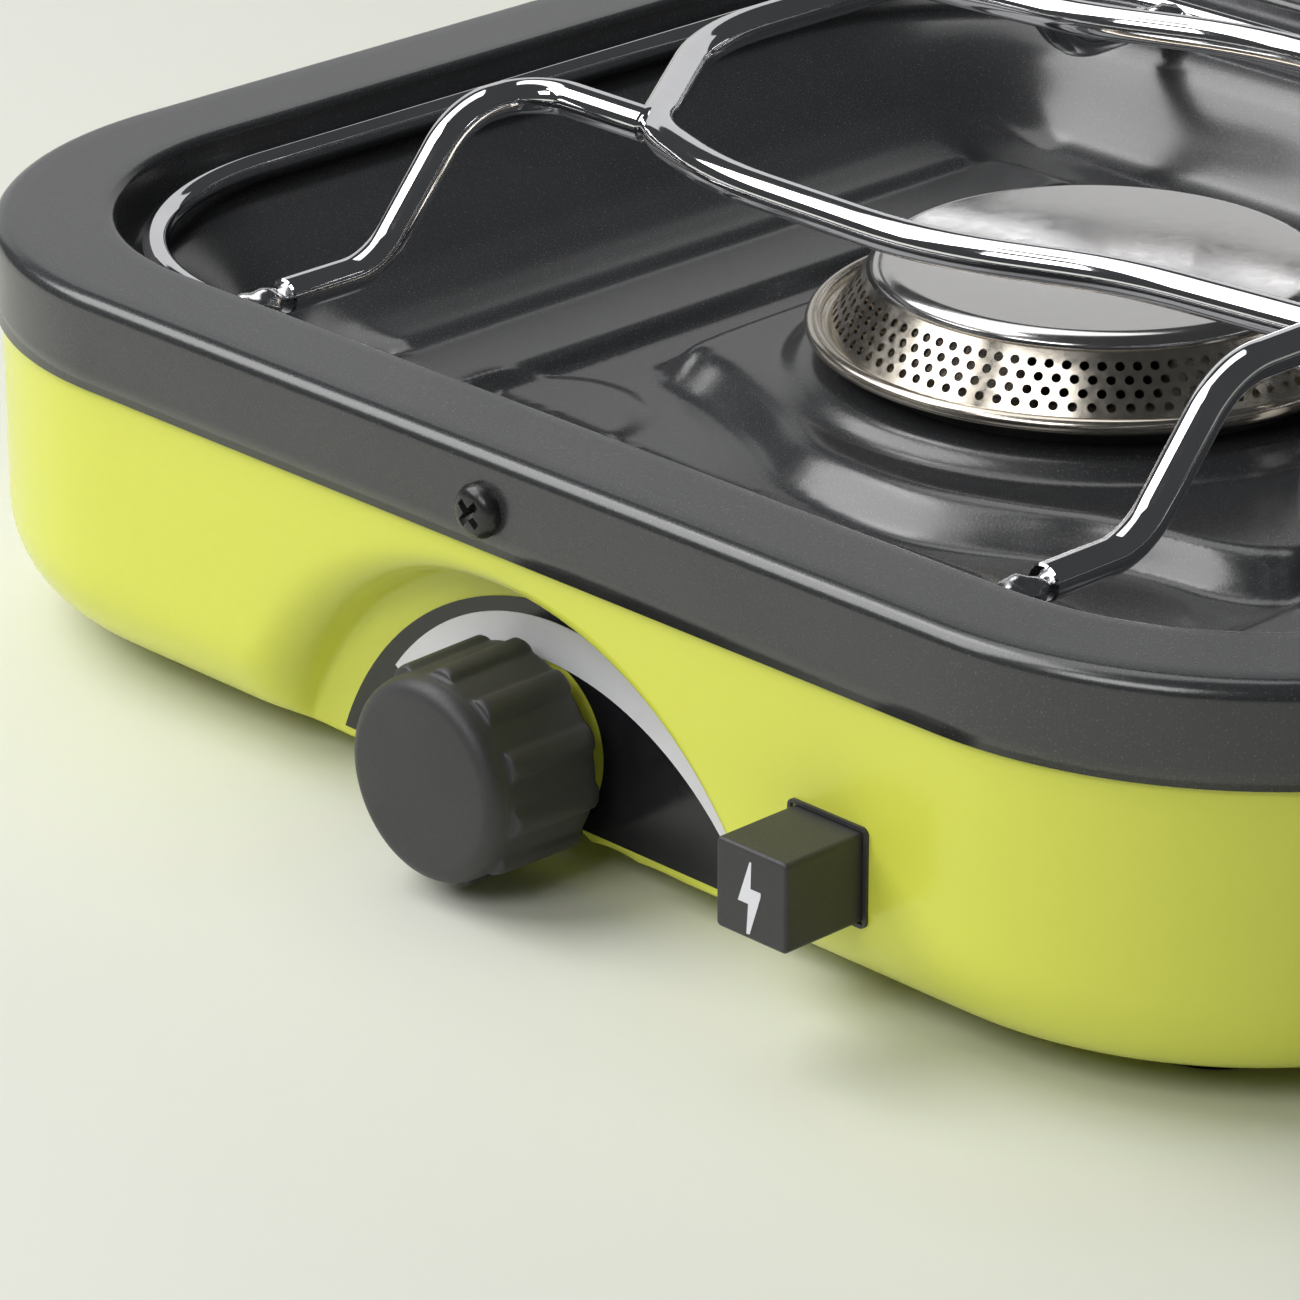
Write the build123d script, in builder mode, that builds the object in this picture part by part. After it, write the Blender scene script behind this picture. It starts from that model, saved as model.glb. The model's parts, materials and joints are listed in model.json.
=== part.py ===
"""Single-burner camping gas stove, modelled piece by piece.

Millimetres, +Z up, front (control side) towards -Y. The origin is on the floor,
under the burner's axis, which is also the middle of the body.
"""
import os

from build123d import *

os.makedirs("parts", exist_ok=True)

# ---- driving dimensions -------------------------------------------------------------
WIDTH = 290.0            # over the tray's skirt, X
DEPTH = 250.0            # over the tray's skirt, Y
RIM_TOP = 64.0           # top face of the rim above the floor
CORNER = 60.0            # plan corner radius of the skirt
SKIRT = 14.4             # height of the tray's skirt
SHEET = 0.8              # tray steel
SHELL = 1.0              # body steel
SHELL_GAP = 1.0          # from the skirt's outer face to the body's outer face
BASE = 4.5               # underside of the body, which stands on the feet
BOTTOM_ROUND = 15.0      # rounding from the body's sides to its bottom
SLOTS = 5                # air slots in the bottom
SLOT_LENGTH, SLOT_WIDTH, SLOT_PITCH = 60.0, 5.0, 14.0
RIM_ROUND = 2.5          # outer top edge of the rim
RIM_WIDTH = 17.5         # from the skirt's outer face to the well's edge

WELL_DEPTH = 27.0        # rim top to the well's floor
PLATFORM_RISE = 6.0      # well floor to the burner platform
TERRACE_RISE = 3.0       # platform to the round terrace under the burner
TERRACE_RADIUS = 46.0
RIB_RISE = 3.0           # long ribs either side of the well
RIB_PLACES = [(-76.0, 0.0), (79.0, 0.0)]
RIB_WIDTH, RIB_LENGTH = 16.0, 140.0
PRESS_TAPER = 20.0       # draft of everything pressed up from the well's floor

KNOB_Z = 18.5            # valve and gas pipe axis height
VALVE_NECK = 6.0         # radius of the valve's threaded neck
PANEL_Y = -DEPTH / 2 + 11.0   # recessed control panel's outer face
RECESS_X, RECESS_Z = 1.5, -10.5   # centre of the recess's arch
RECESS_RADIUS = 52.6     # arch radius on the panel
RECESS_FLARE = 2.0       # extra radius where the arch meets the front face

BUTTON_X = 65.8
BUTTON_Z = 24.4
BUTTON_SIZE = 13.0
BUTTON_FRONT = -138.5    # as far forward as the gas inlet reaches back
BUTTON_TRAVEL = 5.0
BUTTON_FIT = 0.2         # clearance round the button in its bore
LINER = 14.0             # the bezel's sleeve, outside

RING_Z = RIM_TOP - 5.3   # pan ring's wire centre
RING_WIRE = 2.0          # radii of the two wires
FINGER_WIRE = 2.75
FINGER_TOP = 79.0        # centre height of the wires that carry the pan
LEG_X = 75.8             # pan legs, either side of the middle
RING_INSET = 3.9         # well edge to the ring's wire centre

CAP_TOP = 61.0           # burner cap's top face
CAP_RADIUS = 33.5
DISH_RADIUS = 43.8
DISH_Z = 50.3            # centre of the dish's rolled edge

SCREW_HOLE = 2.2         # radius of the holes the M4 screws pass through
M4 = 2.0                 # radius of their shanks
BURNER_SCREWS = 30.0     # circle of the three screws that hold the burner
BURNER_SHANK = 1.95
THROAT_HOLE = 13.2       # radius of the tray's hole under the burner
SPARK_X, SPARK_Y = 49.6, -6.6
SPARK_HOLE = 3.3

FOOT_X, FOOT_Y = 104.0, 90.0
FOOT_RADIUS = 9.0
INLET_X = -76.0
INLET_Z = 26.0
INLET_THREAD = 7.2       # radius of the inlet where its nut clamps the wall
INLET_STUB = 6.5         # radius of the stub that takes the hose
INLET_REACH = 138.5      # rear end of the gas inlet's stub
KNOB_FRONT = -137.5      # the knob's face

# ---- values worked out from them ----------------------------------------------------
well_floor = RIM_TOP - WELL_DEPTH
platform_z = well_floor + PLATFORM_RISE
terrace_z = platform_z + TERRACE_RISE
skirt_bottom = RIM_TOP - SKIRT
skirt_middle = skirt_bottom + 6.0
body_x = WIDTH / 2 - SHELL_GAP
body_y = DEPTH / 2 - SHELL_GAP
well_x = WIDTH / 2 - RIM_WIDTH
well_y = DEPTH / 2 - RIM_WIDTH
wall_outer = -body_y
wall_inner = -body_y + SHELL
PIPE_Y = PANEL_Y + 18.0  # where the gas pipe meets the valve's side
foot_places = [(x, y) for x in (-FOOT_X, FOOT_X) for y in (-FOOT_Y, FOOT_Y)]


def finish(builder, label):
    """Label a finished piece and write its STEP file."""
    builder.part.label = label
    export_step(builder.part, f"parts/{label}.step")


def side_planes(reach_x, reach_y):
    """One plane on each side of the body at screw height, facing outwards."""
    return [
        Plane((0, -reach_y, skirt_middle), x_dir=(1, 0, 0), z_dir=(0, -1, 0)),
        Plane((0, reach_y, skirt_middle), x_dir=(-1, 0, 0), z_dir=(0, 1, 0)),
        Plane((-reach_x, 0, skirt_middle), x_dir=(0, -1, 0), z_dir=(-1, 0, 0)),
        Plane((reach_x, 0, skirt_middle), x_dir=(0, 1, 0), z_dir=(1, 0, 0)),
    ]


screw_sides = side_planes(WIDTH / 2, DEPTH / 2)

# ---- body shell: a deep-drawn pan with a scooped control recess ---------------------
def recess_block(grow):
    """The scoop taken out of the front wall, grown by a wall thickness."""
    front = DEPTH / 2 + 1.0
    with BuildPart() as scoop:
        with BuildSketch(Plane.XZ.offset(front)):
            with Locations((RECESS_X, RECESS_Z)):
                Circle(RECESS_RADIUS + RECESS_FLARE + grow)
        with BuildSketch(Plane.XZ.offset(-PANEL_Y - grow)):
            with Locations((RECESS_X, RECESS_Z)):
                Circle(RECESS_RADIUS + grow)
        loft()
    return scoop.part


scoop_outside = recess_block(0.0)
scoop_inside = recess_block(SHELL)

with BuildPart() as shell_cavity:
    with BuildSketch(Plane.XY.offset(BASE + SHELL)):
        RectangleRounded(2 * (body_x - SHELL), 2 * (body_y - SHELL), CORNER - SHELL_GAP - SHELL)
    extrude(amount=RIM_TOP)
    fillet(shell_cavity.faces().sort_by(Axis.Z)[0].edges(), BOTTOM_ROUND - SHELL)
    add(scoop_inside, mode=Mode.SUBTRACT)

with BuildPart() as body_shell:
    with BuildSketch(Plane.XY.offset(BASE)):
        RectangleRounded(2 * body_x, 2 * body_y, CORNER - SHELL_GAP)
    extrude(amount=RIM_TOP - SHEET - 0.3 - BASE)
    fillet(body_shell.faces().sort_by(Axis.Z)[0].edges(), BOTTOM_ROUND)
    add(scoop_outside, mode=Mode.SUBTRACT)
    add(shell_cavity.part, mode=Mode.SUBTRACT)
    # valve neck, igniter and gas inlet
    with BuildSketch(Plane.XZ.offset(-PANEL_Y + 1)):
        with Locations((0, KNOB_Z)):
            Circle(VALVE_NECK + 0.2)
    extrude(amount=-4, mode=Mode.SUBTRACT)
    with BuildSketch(Plane.XZ.offset(body_y + 1)):
        with Locations((BUTTON_X, BUTTON_Z)):
            RectangleRounded(LINER + 0.1, LINER + 0.1, 1.0)
    extrude(amount=-4, mode=Mode.SUBTRACT)
    with BuildSketch(Plane.XZ.offset(-body_y - 1)):
        with Locations((INLET_X, INLET_Z)):
            Circle(INLET_THREAD + 0.3)
    extrude(amount=4, mode=Mode.SUBTRACT)
    # rim screws: one hole in each side
    for side in screw_sides:
        with BuildSketch(side.offset(0.5)):
            Circle(SCREW_HOLE)
        extrude(amount=-3.5, mode=Mode.SUBTRACT)
    # foot screws and air slots in the bottom
    with BuildSketch(Plane.XY.offset(BASE - 1)):
        with Locations(*foot_places):
            Circle(SCREW_HOLE)
        with GridLocations(0, SLOT_PITCH, 1, SLOTS):
            SlotOverall(SLOT_LENGTH, SLOT_WIDTH)
    extrude(amount=3, mode=Mode.SUBTRACT)
finish(body_shell, "body_shell")


# ---- top tray: rim, skirt and well pressed from one sheet ---------------------------
def well_form(grow):
    """The air in the well (grow 0), or that air and the sheet around it."""
    sections = [
        (well_x, well_y, 45.0, RIM_TOP + (0.5 if grow == 0 else -SHEET / 2)),
        (well_x - 1.0, well_y - 1.0, 44.0, RIM_TOP - 6.5),
        (well_x - 8.5, well_y - 8.5, 38.0, RIM_TOP - 10.0),
        (well_x - 32.0, well_y - 22.0, 26.0, RIM_TOP - 24.0),
        (well_x - 36.0, well_y - 25.0, 24.0, well_floor),
    ]
    with BuildPart() as form:
        for half_x, half_y, radius, height in sections:
            drop = grow if height < RIM_TOP - SHEET else 0.0
            with BuildSketch(Plane.XY.offset(height - drop)):
                RectangleRounded(2 * (half_x + grow), 2 * (half_y + grow), radius + grow)
        loft(ruled=True)
        # burner platform with its wavy front and back
        with BuildSketch(Plane.XY.offset(well_floor - grow)):
            with BuildLine():
                Polyline((-54, 38), (-38, 40), (-16, 48), (14, 52), (40, 47), (68, 39),
                         (68, -39), (40, -47), (14, -52), (-16, -48), (-38, -40), (-54, -38),
                         (-54, 38))
            make_face()
            offset(amount=-grow, mode=Mode.REPLACE)
        extrude(amount=PLATFORM_RISE, taper=PRESS_TAPER, mode=Mode.SUBTRACT)
        with BuildSketch(Plane.XY.offset(platform_z - grow)):
            Circle(TERRACE_RADIUS - grow)
        extrude(amount=TERRACE_RISE, taper=PRESS_TAPER, mode=Mode.SUBTRACT)
        # long ribs at the left and right
        with BuildSketch(Plane.XY.offset(well_floor - grow)):
            with Locations(*RIB_PLACES):
                Rectangle(RIB_WIDTH - 2 * grow, RIB_LENGTH - 2 * grow)
        extrude(amount=RIB_RISE, taper=PRESS_TAPER, mode=Mode.SUBTRACT)
    return form.part


well_air = well_form(0.0)
well_skin = well_form(SHEET)

with BuildPart() as top_tray:
    with BuildSketch(Plane.XY.offset(skirt_bottom)):
        RectangleRounded(WIDTH, DEPTH, CORNER)
    extrude(amount=SKIRT)
    fillet(top_tray.faces().sort_by(Axis.Z)[-1].edges(), RIM_ROUND)
    with BuildSketch(Plane.XY.offset(skirt_bottom)):
        RectangleRounded(WIDTH - 2 * SHEET, DEPTH - 2 * SHEET, CORNER - SHEET)
    extrude(amount=SKIRT - SHEET, mode=Mode.SUBTRACT)
    add(well_skin)
    add(well_air, mode=Mode.SUBTRACT)
    # burner throat, burner screws, igniter electrode
    with BuildSketch(Plane.XY.offset(well_floor - 2)):
        Circle(THROAT_HOLE)
        with PolarLocations(BURNER_SCREWS, 3, start_angle=30):
            Circle(SCREW_HOLE)
        with Locations((SPARK_X, SPARK_Y)):
            Circle(SPARK_HOLE)
    extrude(amount=14, mode=Mode.SUBTRACT)
    for side in screw_sides:
        with BuildSketch(side.offset(0.5)):
            Circle(SCREW_HOLE)
        extrude(amount=-3.5, mode=Mode.SUBTRACT)
finish(top_tray, "top_tray")

# ---- rim screws and their clip nuts --------------------------------------------------
HEAD_RADIUS = 3.9
HEAD_HEIGHT = 2.6
HEAD_ROUND = 1.8
CROSS_LENGTH, CROSS_WIDTH, CROSS_DEPTH = 4.4, 1.1, 1.6

with BuildPart() as rim_screws:
    for side in screw_sides:
        with BuildSketch(side):
            Circle(HEAD_RADIUS)
        extrude(amount=HEAD_HEIGHT)
    fillet(rim_screws.faces().filter_by(GeomType.PLANE).group_by(Axis.X)[0].edges(), HEAD_ROUND)
    fillet(rim_screws.faces().filter_by(GeomType.PLANE).group_by(Axis.X)[-1].edges(), HEAD_ROUND)
    fillet(rim_screws.faces().filter_by(GeomType.PLANE).group_by(Axis.Y)[0].edges(), HEAD_ROUND)
    fillet(rim_screws.faces().filter_by(GeomType.PLANE).group_by(Axis.Y)[-1].edges(), HEAD_ROUND)
    for side in screw_sides:
        with BuildSketch(side):
            Circle(M4)
        extrude(amount=-8)
        with BuildSketch(side.offset(HEAD_HEIGHT)):
            Rectangle(CROSS_LENGTH, CROSS_WIDTH)
            Rectangle(CROSS_WIDTH, CROSS_LENGTH)
        extrude(amount=-CROSS_DEPTH, mode=Mode.SUBTRACT)
finish(rim_screws, "rim_screws")

with BuildPart() as rim_clip_nuts:
    for side in side_planes(body_x - SHELL, body_y - SHELL):
        with BuildSketch(side):
            Rectangle(10, 9)
            Circle(M4 + 0.05, mode=Mode.SUBTRACT)
        extrude(amount=-2)
finish(rim_clip_nuts, "rim_clip_nuts")

# ---- control sticker and its flame scale --------------------------------------------
STICKER = 0.25           # thickness
STICKER_X, STICKER_Z, STICKER_RADIUS = 5.5, -11.2, 50.3
STICKER_BOTTOM = 6.8
STICKER_HOLE = 12.7      # round the valve's nut, hidden behind the knob
PRINT = 0.15             # thickness of the white ink
SCALE_X, SCALE_Z, SCALE_RADIUS = 3.4, -5.5, 42.1     # the crescent's outer edge
SCALE_TOP = 30.4         # its inner edge at the top
SCALE_MIDDLE = 1.1       # where the wide left half meets the tapering right half
SCALE_LEFT, SCALE_RIGHT = 30.0, 46.9                 # radii of the inner edge
SCALE_BOTTOM = 7.5

with BuildPart() as control_sticker:
    with BuildSketch(Plane.XZ.offset(-PANEL_Y)):
        with Locations((STICKER_X, STICKER_Z)):
            Circle(STICKER_RADIUS)
        with Locations((RECESS_X, RECESS_Z)):
            Circle(RECESS_RADIUS - 0.4, mode=Mode.INTERSECT)
        with Locations((0, STICKER_BOTTOM - 100)):
            Rectangle(200, 200, mode=Mode.SUBTRACT)
        with Locations((0, KNOB_Z)):
            Circle(STICKER_HOLE, mode=Mode.SUBTRACT)
    extrude(amount=STICKER)
finish(control_sticker, "control_sticker")

with BuildPart() as flame_scale:
    # a crescent: wide and cut off square where the flame is high ...
    with BuildSketch(Plane.XZ.offset(-PANEL_Y + STICKER)):
        with Locations((SCALE_X, SCALE_Z)):
            Circle(SCALE_RADIUS)
        with Locations((SCALE_MIDDLE, SCALE_TOP - SCALE_LEFT)):
            Circle(SCALE_LEFT, mode=Mode.SUBTRACT)
        with Locations((SCALE_MIDDLE + 50, 0)):
            Rectangle(100, 200, mode=Mode.SUBTRACT)
        with Locations((SCALE_MIDDLE, SCALE_TOP - SCALE_LEFT)):
            Polygon((0, 0), (-62.6, 39.0), (-62.6, -60), (0, -60), align=None, mode=Mode.SUBTRACT)
    extrude(amount=PRINT)
    # ... and tapering to nothing at the right
    with BuildSketch(Plane.XZ.offset(-PANEL_Y + STICKER)):
        with Locations((SCALE_X, SCALE_Z)):
            Circle(SCALE_RADIUS)
        with Locations((SCALE_MIDDLE, SCALE_TOP - SCALE_RIGHT)):
            Circle(SCALE_RIGHT, mode=Mode.SUBTRACT)
        with Locations((SCALE_MIDDLE - 50, 0)):
            Rectangle(100, 200, mode=Mode.SUBTRACT)
        with Locations((0, SCALE_BOTTOM - 60)):
            Rectangle(200, 120, mode=Mode.SUBTRACT)
    extrude(amount=PRINT)
finish(flame_scale, "flame_scale")

# ---- gas valve, its stem and the control knob ---------------------------------------
VALVE_REAR = PANEL_Y + 34.0
STEM = 3.0
STEM_END = PANEL_Y - 20.0
KEY_DROP = 3.9           # centre of the cut that leaves the stem's flat
KEY_LENGTH = 11.0
SPIGOT = 5.0             # radius of the pipe's connections

with BuildPart() as valve_body:
    with BuildSketch(Plane.XZ.offset(-(PANEL_Y + SHELL + 0.4))):
        with Locations((0, KNOB_Z)):
            RectangleRounded(24, 20, 3)
    extrude(amount=-(VALVE_REAR - PANEL_Y - SHELL - 0.4))
    with BuildSketch(Plane.XZ.offset(-PANEL_Y + 3.4)):
        with Locations((0, KNOB_Z)):
            Circle(VALVE_NECK)
    extrude(amount=-6)
    # side inlet boss
    with BuildSketch(Plane.YZ.offset(-15)):
        with Locations((PIPE_Y, KNOB_Z)):
            Circle(SPIGOT)
    extrude(amount=4)
    # stem bore, cross drilling and outlet
    with BuildSketch(Plane.XZ.offset(-PANEL_Y + 4)):
        with Locations((0, KNOB_Z)):
            Circle(STEM + 0.05)
    extrude(amount=-24, mode=Mode.SUBTRACT)
    with BuildSketch(Plane.YZ.offset(-16)):
        with Locations((PIPE_Y, KNOB_Z)):
            Circle(1.8)
    extrude(amount=14, mode=Mode.SUBTRACT)
    with BuildSketch(Plane.XZ.offset(-VALVE_REAR)):
        with Locations((0, KNOB_Z)):
            Circle(2.5)
    extrude(amount=16, mode=Mode.SUBTRACT)
finish(valve_body, "valve_body")

with BuildPart() as valve_nut:
    with BuildSketch(Plane.XZ.offset(-PANEL_Y)):
        with Locations((0, KNOB_Z)):
            RegularPolygon(8.0, 6)
            Circle(VALVE_NECK, mode=Mode.SUBTRACT)
    extrude(amount=2.6)
finish(valve_nut, "valve_nut")

with BuildPart() as valve_stem:
    with BuildSketch(Plane.XZ.offset(-PIPE_Y)):
        with Locations((0, KNOB_Z)):
            Circle(STEM)
    extrude(amount=PIPE_Y - STEM_END)
    # flat that keys the knob
    with BuildSketch(Plane.XZ.offset(-STEM_END)):
        with Locations((0, KNOB_Z + KEY_DROP)):
            Rectangle(8, 4)
    extrude(amount=-KEY_LENGTH, mode=Mode.SUBTRACT)
finish(valve_stem, "valve_stem")

KNOB_BACK = PANEL_Y - 4.0
KNOB_RADIUS = 15.0
KNOB_WALL = 2.2
HUB = 5.4
RIB_COUNT = 11
RIB_RADIUS = 1.9
RIB_REACH = 16.2         # the ribs' crests from the axis
RIB_SHORT = 4.2          # from the face back to the ribs' front ends

with BuildPart() as control_knob:
    with BuildSketch(Plane.XZ.offset(-KNOB_BACK)):
        with Locations((0, KNOB_Z)):
            Circle(KNOB_RADIUS + 0.4)
    extrude(amount=KNOB_BACK - KNOB_FRONT, taper=1)
    fillet(control_knob.faces().sort_by(Axis.Y)[0].edges(), 2.0)
    # grip ribs, standing off the side and stopping short of the face
    with BuildSketch(Plane.XZ.offset(-KNOB_BACK)):
        with Locations((0, KNOB_Z)):
            with PolarLocations(RIB_REACH - RIB_RADIUS, RIB_COUNT, start_angle=12):
                Circle(RIB_RADIUS)
    extrude(amount=KNOB_BACK - KNOB_FRONT - RIB_SHORT, taper=1)
    # hollow back with a keyed hub
    with BuildSketch(Plane.XZ.offset(-KNOB_BACK)):
        with Locations((0, KNOB_Z)):
            Circle(KNOB_RADIUS - KNOB_WALL)
    extrude(amount=KNOB_BACK - STEM_END, mode=Mode.SUBTRACT)
    with BuildSketch(Plane.XZ.offset(-KNOB_BACK + 1)):
        with Locations((0, KNOB_Z)):
            Circle(HUB)
    extrude(amount=KNOB_BACK - STEM_END + 1)
    with BuildSketch(Plane.XZ.offset(-KNOB_BACK)):
        with Locations((0, KNOB_Z)):
            Circle(STEM)
        with Locations((0, KNOB_Z + KEY_DROP)):
            Rectangle(8, 4, mode=Mode.SUBTRACT)
    extrude(amount=KNOB_BACK - STEM_END + 0.5, mode=Mode.SUBTRACT)
    # the round part of the stem passes the first stretch of the hub
    with BuildSketch(Plane.XZ.offset(-KNOB_BACK)):
        with Locations((0, KNOB_Z)):
            Circle(STEM)
    extrude(amount=KNOB_BACK - STEM_END - KEY_LENGTH + 0.5, mode=Mode.SUBTRACT)
finish(control_knob, "control_knob")

with BuildPart() as knob_clip:
    with BuildSketch(Plane.XZ.offset(-KNOB_BACK + 4)):
        with Locations((0, KNOB_Z)):
            Circle(HUB + 0.6)
            Circle(HUB, mode=Mode.SUBTRACT)
        with Locations((0, KNOB_Z - 6)):
            Rectangle(2, 4, mode=Mode.SUBTRACT)
    extrude(amount=6)
finish(knob_clip, "knob_clip")

# ---- jet and mixing tube -------------------------------------------------------------
with BuildPart() as gas_jet:
    with BuildSketch(Plane.XZ.offset(-VALVE_REAR)):
        with Locations((0, KNOB_Z)):
            RegularPolygon(5.5, 6)
    extrude(amount=-4)
    with BuildSketch(Plane.XZ.offset(-VALVE_REAR - 4)):
        with Locations((0, KNOB_Z)):
            Circle(3.6)
    extrude(amount=-8, taper=8)
    with BuildSketch(Plane.XZ.offset(-VALVE_REAR + 8)):
        with Locations((0, KNOB_Z)):
            Circle(2.5)
    extrude(amount=-8)
    with BuildSketch(Plane.XZ.offset(-VALVE_REAR + 9)):
        with Locations((0, KNOB_Z)):
            Circle(0.8)
    extrude(amount=-24, mode=Mode.SUBTRACT)
finish(gas_jet, "gas_jet")

TUBE_RADIUS = 8.0
TUBE_WALL = 1.0
TUBE_MOUTH = VALVE_REAR + 8.0
ELBOW = 16.0
THROAT_TOP = 41.0

with BuildPart() as mixing_tube:
    with BuildLine() as tube_path:
        FilletPolyline((0, TUBE_MOUTH, KNOB_Z), (0, 0, KNOB_Z), (0, 0, THROAT_TOP), radius=ELBOW)
    with BuildSketch(Plane.XZ.offset(-TUBE_MOUTH)):
        with Locations((0, KNOB_Z)):
            Circle(TUBE_RADIUS)
            Circle(TUBE_RADIUS - TUBE_WALL, mode=Mode.SUBTRACT)
    sweep(path=tube_path.wire())
    # air slots near the mouth
    with BuildSketch(Plane.XY.offset(KNOB_Z)):
        with Locations((0, TUBE_MOUTH + 14)):
            SlotOverall(14, 5, rotation=90)
    extrude(amount=12, mode=Mode.SUBTRACT)
    with BuildSketch(Plane.YZ):
        with Locations((TUBE_MOUTH + 14, KNOB_Z)):
            SlotOverall(14, 5)
    extrude(amount=12, both=True, mode=Mode.SUBTRACT)
finish(mixing_tube, "mixing_tube")

# ---- burner: base, dish, perforated ring and cap ------------------------------------
BASE_RADIUS = 38.0
NECK_RADIUS = 12.6

with BuildPart() as burner_base:
    with BuildSketch(Plane.XZ):
        with BuildLine():
            Polyline((TUBE_RADIUS, 33.5), (NECK_RADIUS, 33.5), (NECK_RADIUS, terrace_z),
                     (BASE_RADIUS, terrace_z), (BASE_RADIUS, DISH_Z - 1.0), (12.0, DISH_Z - 1.0),
                     (9.0, DISH_Z + 3.0), (7.0, DISH_Z + 3.0), (7.0, THROAT_TOP),
                     (TUBE_RADIUS, THROAT_TOP), (TUBE_RADIUS, 33.5))
        make_face()
    revolve(axis=Axis.Z)
    with BuildSketch(Plane.XY.offset(terrace_z)):
        with PolarLocations(BURNER_SCREWS, 3, start_angle=30):
            Circle(BURNER_SHANK)
    extrude(amount=2.5, mode=Mode.SUBTRACT)
finish(burner_base, "burner_base")

with BuildPart() as burner_dish:
    with BuildSketch(Plane.XZ):
        with BuildLine():
            Polyline((14, DISH_Z - 1.0), (DISH_RADIUS - 1.4, DISH_Z - 1.0),
                     (DISH_RADIUS - 1.4, DISH_Z - 0.2), (14, DISH_Z - 0.2), (14, DISH_Z - 1.0))
        make_face()
        with Locations((DISH_RADIUS - 1.2, DISH_Z)):
            Circle(1.2)
    revolve(axis=Axis.Z)
finish(burner_dish, "burner_dish")

BAND_FOOT = DISH_Z - 0.2
BAND_HEAD = CAP_TOP - 2.2
BAND_OUT = 40.4
BAND_IN = 34.6
BAND_WALL = 0.7
PORTS = 46

with BuildPart() as burner_ring:
    with BuildSketch(Plane.XZ):
        with BuildLine():
            Polyline((BAND_OUT, BAND_FOOT), (BAND_IN, BAND_HEAD), (BAND_IN - BAND_WALL, BAND_HEAD),
                     (BAND_OUT - BAND_WALL - 1.0, BAND_FOOT), (BAND_OUT, BAND_FOOT))
        make_face()
    revolve(axis=Axis.Z)
    with BuildSketch(Plane.XY.offset((BAND_FOOT + BAND_HEAD) / 2)):
        with PolarLocations(20, PORTS):
            Rectangle(44, 1.3)
        Circle(30, mode=Mode.SUBTRACT)
    extrude(amount=0.65, both=True, mode=Mode.SUBTRACT)
finish(burner_ring, "burner_ring")

with BuildPart() as burner_cap:
    with BuildSketch(Plane.XY.offset(BAND_HEAD)):
        Circle(CAP_RADIUS + 1.3)
    extrude(amount=CAP_TOP - BAND_HEAD)
    fillet(burner_cap.faces().sort_by(Axis.Z)[-1].edges(), 1.8)
finish(burner_cap, "burner_cap")

with BuildPart() as burner_screws:
    with BuildSketch(Plane.XY.offset(terrace_z - SHEET)):
        with PolarLocations(BURNER_SCREWS, 3, start_angle=30):
            Circle(3.6)
    extrude(amount=-2.4)
    with BuildSketch(Plane.XY.offset(terrace_z - SHEET)):
        with PolarLocations(BURNER_SCREWS, 3, start_angle=30):
            Circle(BURNER_SHANK)
    extrude(amount=SHEET + 2.4)
finish(burner_screws, "burner_screws")

# ---- spark electrode -----------------------------------------------------------------
SPARK = Vector(SPARK_X, SPARK_Y, 0)
SPARK_FOOT = 31.0
SPARK_TOP = 53.0

with BuildPart() as electrode_insulator:
    with BuildSketch(Plane.XY.offset(SPARK_FOOT)):
        with Locations((SPARK.X, SPARK.Y)):
            Circle(3.0)
    extrude(amount=SPARK_TOP - SPARK_FOOT)
    with BuildSketch(Plane.XY.offset(platform_z - SHEET - 2.6)):
        with Locations((SPARK.X, SPARK.Y)):
            Circle(4.5)
    extrude(amount=2.4)
    with BuildSketch(Plane.XY.offset(SPARK_FOOT - 1)):
        with Locations((SPARK.X, SPARK.Y)):
            Circle(0.9)
    extrude(amount=30, mode=Mode.SUBTRACT)
finish(electrode_insulator, "electrode_insulator")

with BuildPart() as electrode_pin:
    with BuildLine() as pin_path:
        inward = (SPARK * -1).normalized()
        FilletPolyline(SPARK + Vector(0, 0, SPARK_FOOT - 4), SPARK + Vector(0, 0, 57.0),
                       SPARK + inward * 11 + Vector(0, 0, 57.0), radius=2.5)
    with BuildSketch(Plane(SPARK + Vector(0, 0, SPARK_FOOT - 4), z_dir=(0, 0, 1))):
        Circle(0.9)
    sweep(path=pin_path.wire())
finish(electrode_pin, "electrode_pin")

BRACKET_TOP = platform_z - SHEET - 2.6

with BuildPart() as electrode_bracket:
    with BuildSketch(Plane.XY.offset(BRACKET_TOP - 1.2)):
        with Locations((SPARK.X, SPARK.Y + 6)):
            RectangleRounded(14, 26, 3)
        with Locations((SPARK.X, SPARK.Y)):
            Circle(3.1, mode=Mode.SUBTRACT)
        with Locations((SPARK.X, SPARK.Y + 14)):
            Circle(1.6, mode=Mode.SUBTRACT)
    extrude(amount=1.2)
    with BuildSketch(Plane.XY.offset(BRACKET_TOP)):
        with Locations((SPARK.X, SPARK.Y + 14)):
            Circle(4.0)
            Circle(1.6, mode=Mode.SUBTRACT)
    extrude(amount=2.6)
finish(electrode_bracket, "electrode_bracket")

with BuildPart() as electrode_screw:
    with BuildSketch(Plane.XY.offset(BRACKET_TOP - 1.2)):
        with Locations((SPARK.X, SPARK.Y + 14)):
            Circle(3.0)
    extrude(amount=-2)
    with BuildSketch(Plane.XY.offset(BRACKET_TOP - 1.2)):
        with Locations((SPARK.X, SPARK.Y + 14)):
            Circle(1.6)
    extrude(amount=3.8)
finish(electrode_screw, "electrode_screw")

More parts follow.
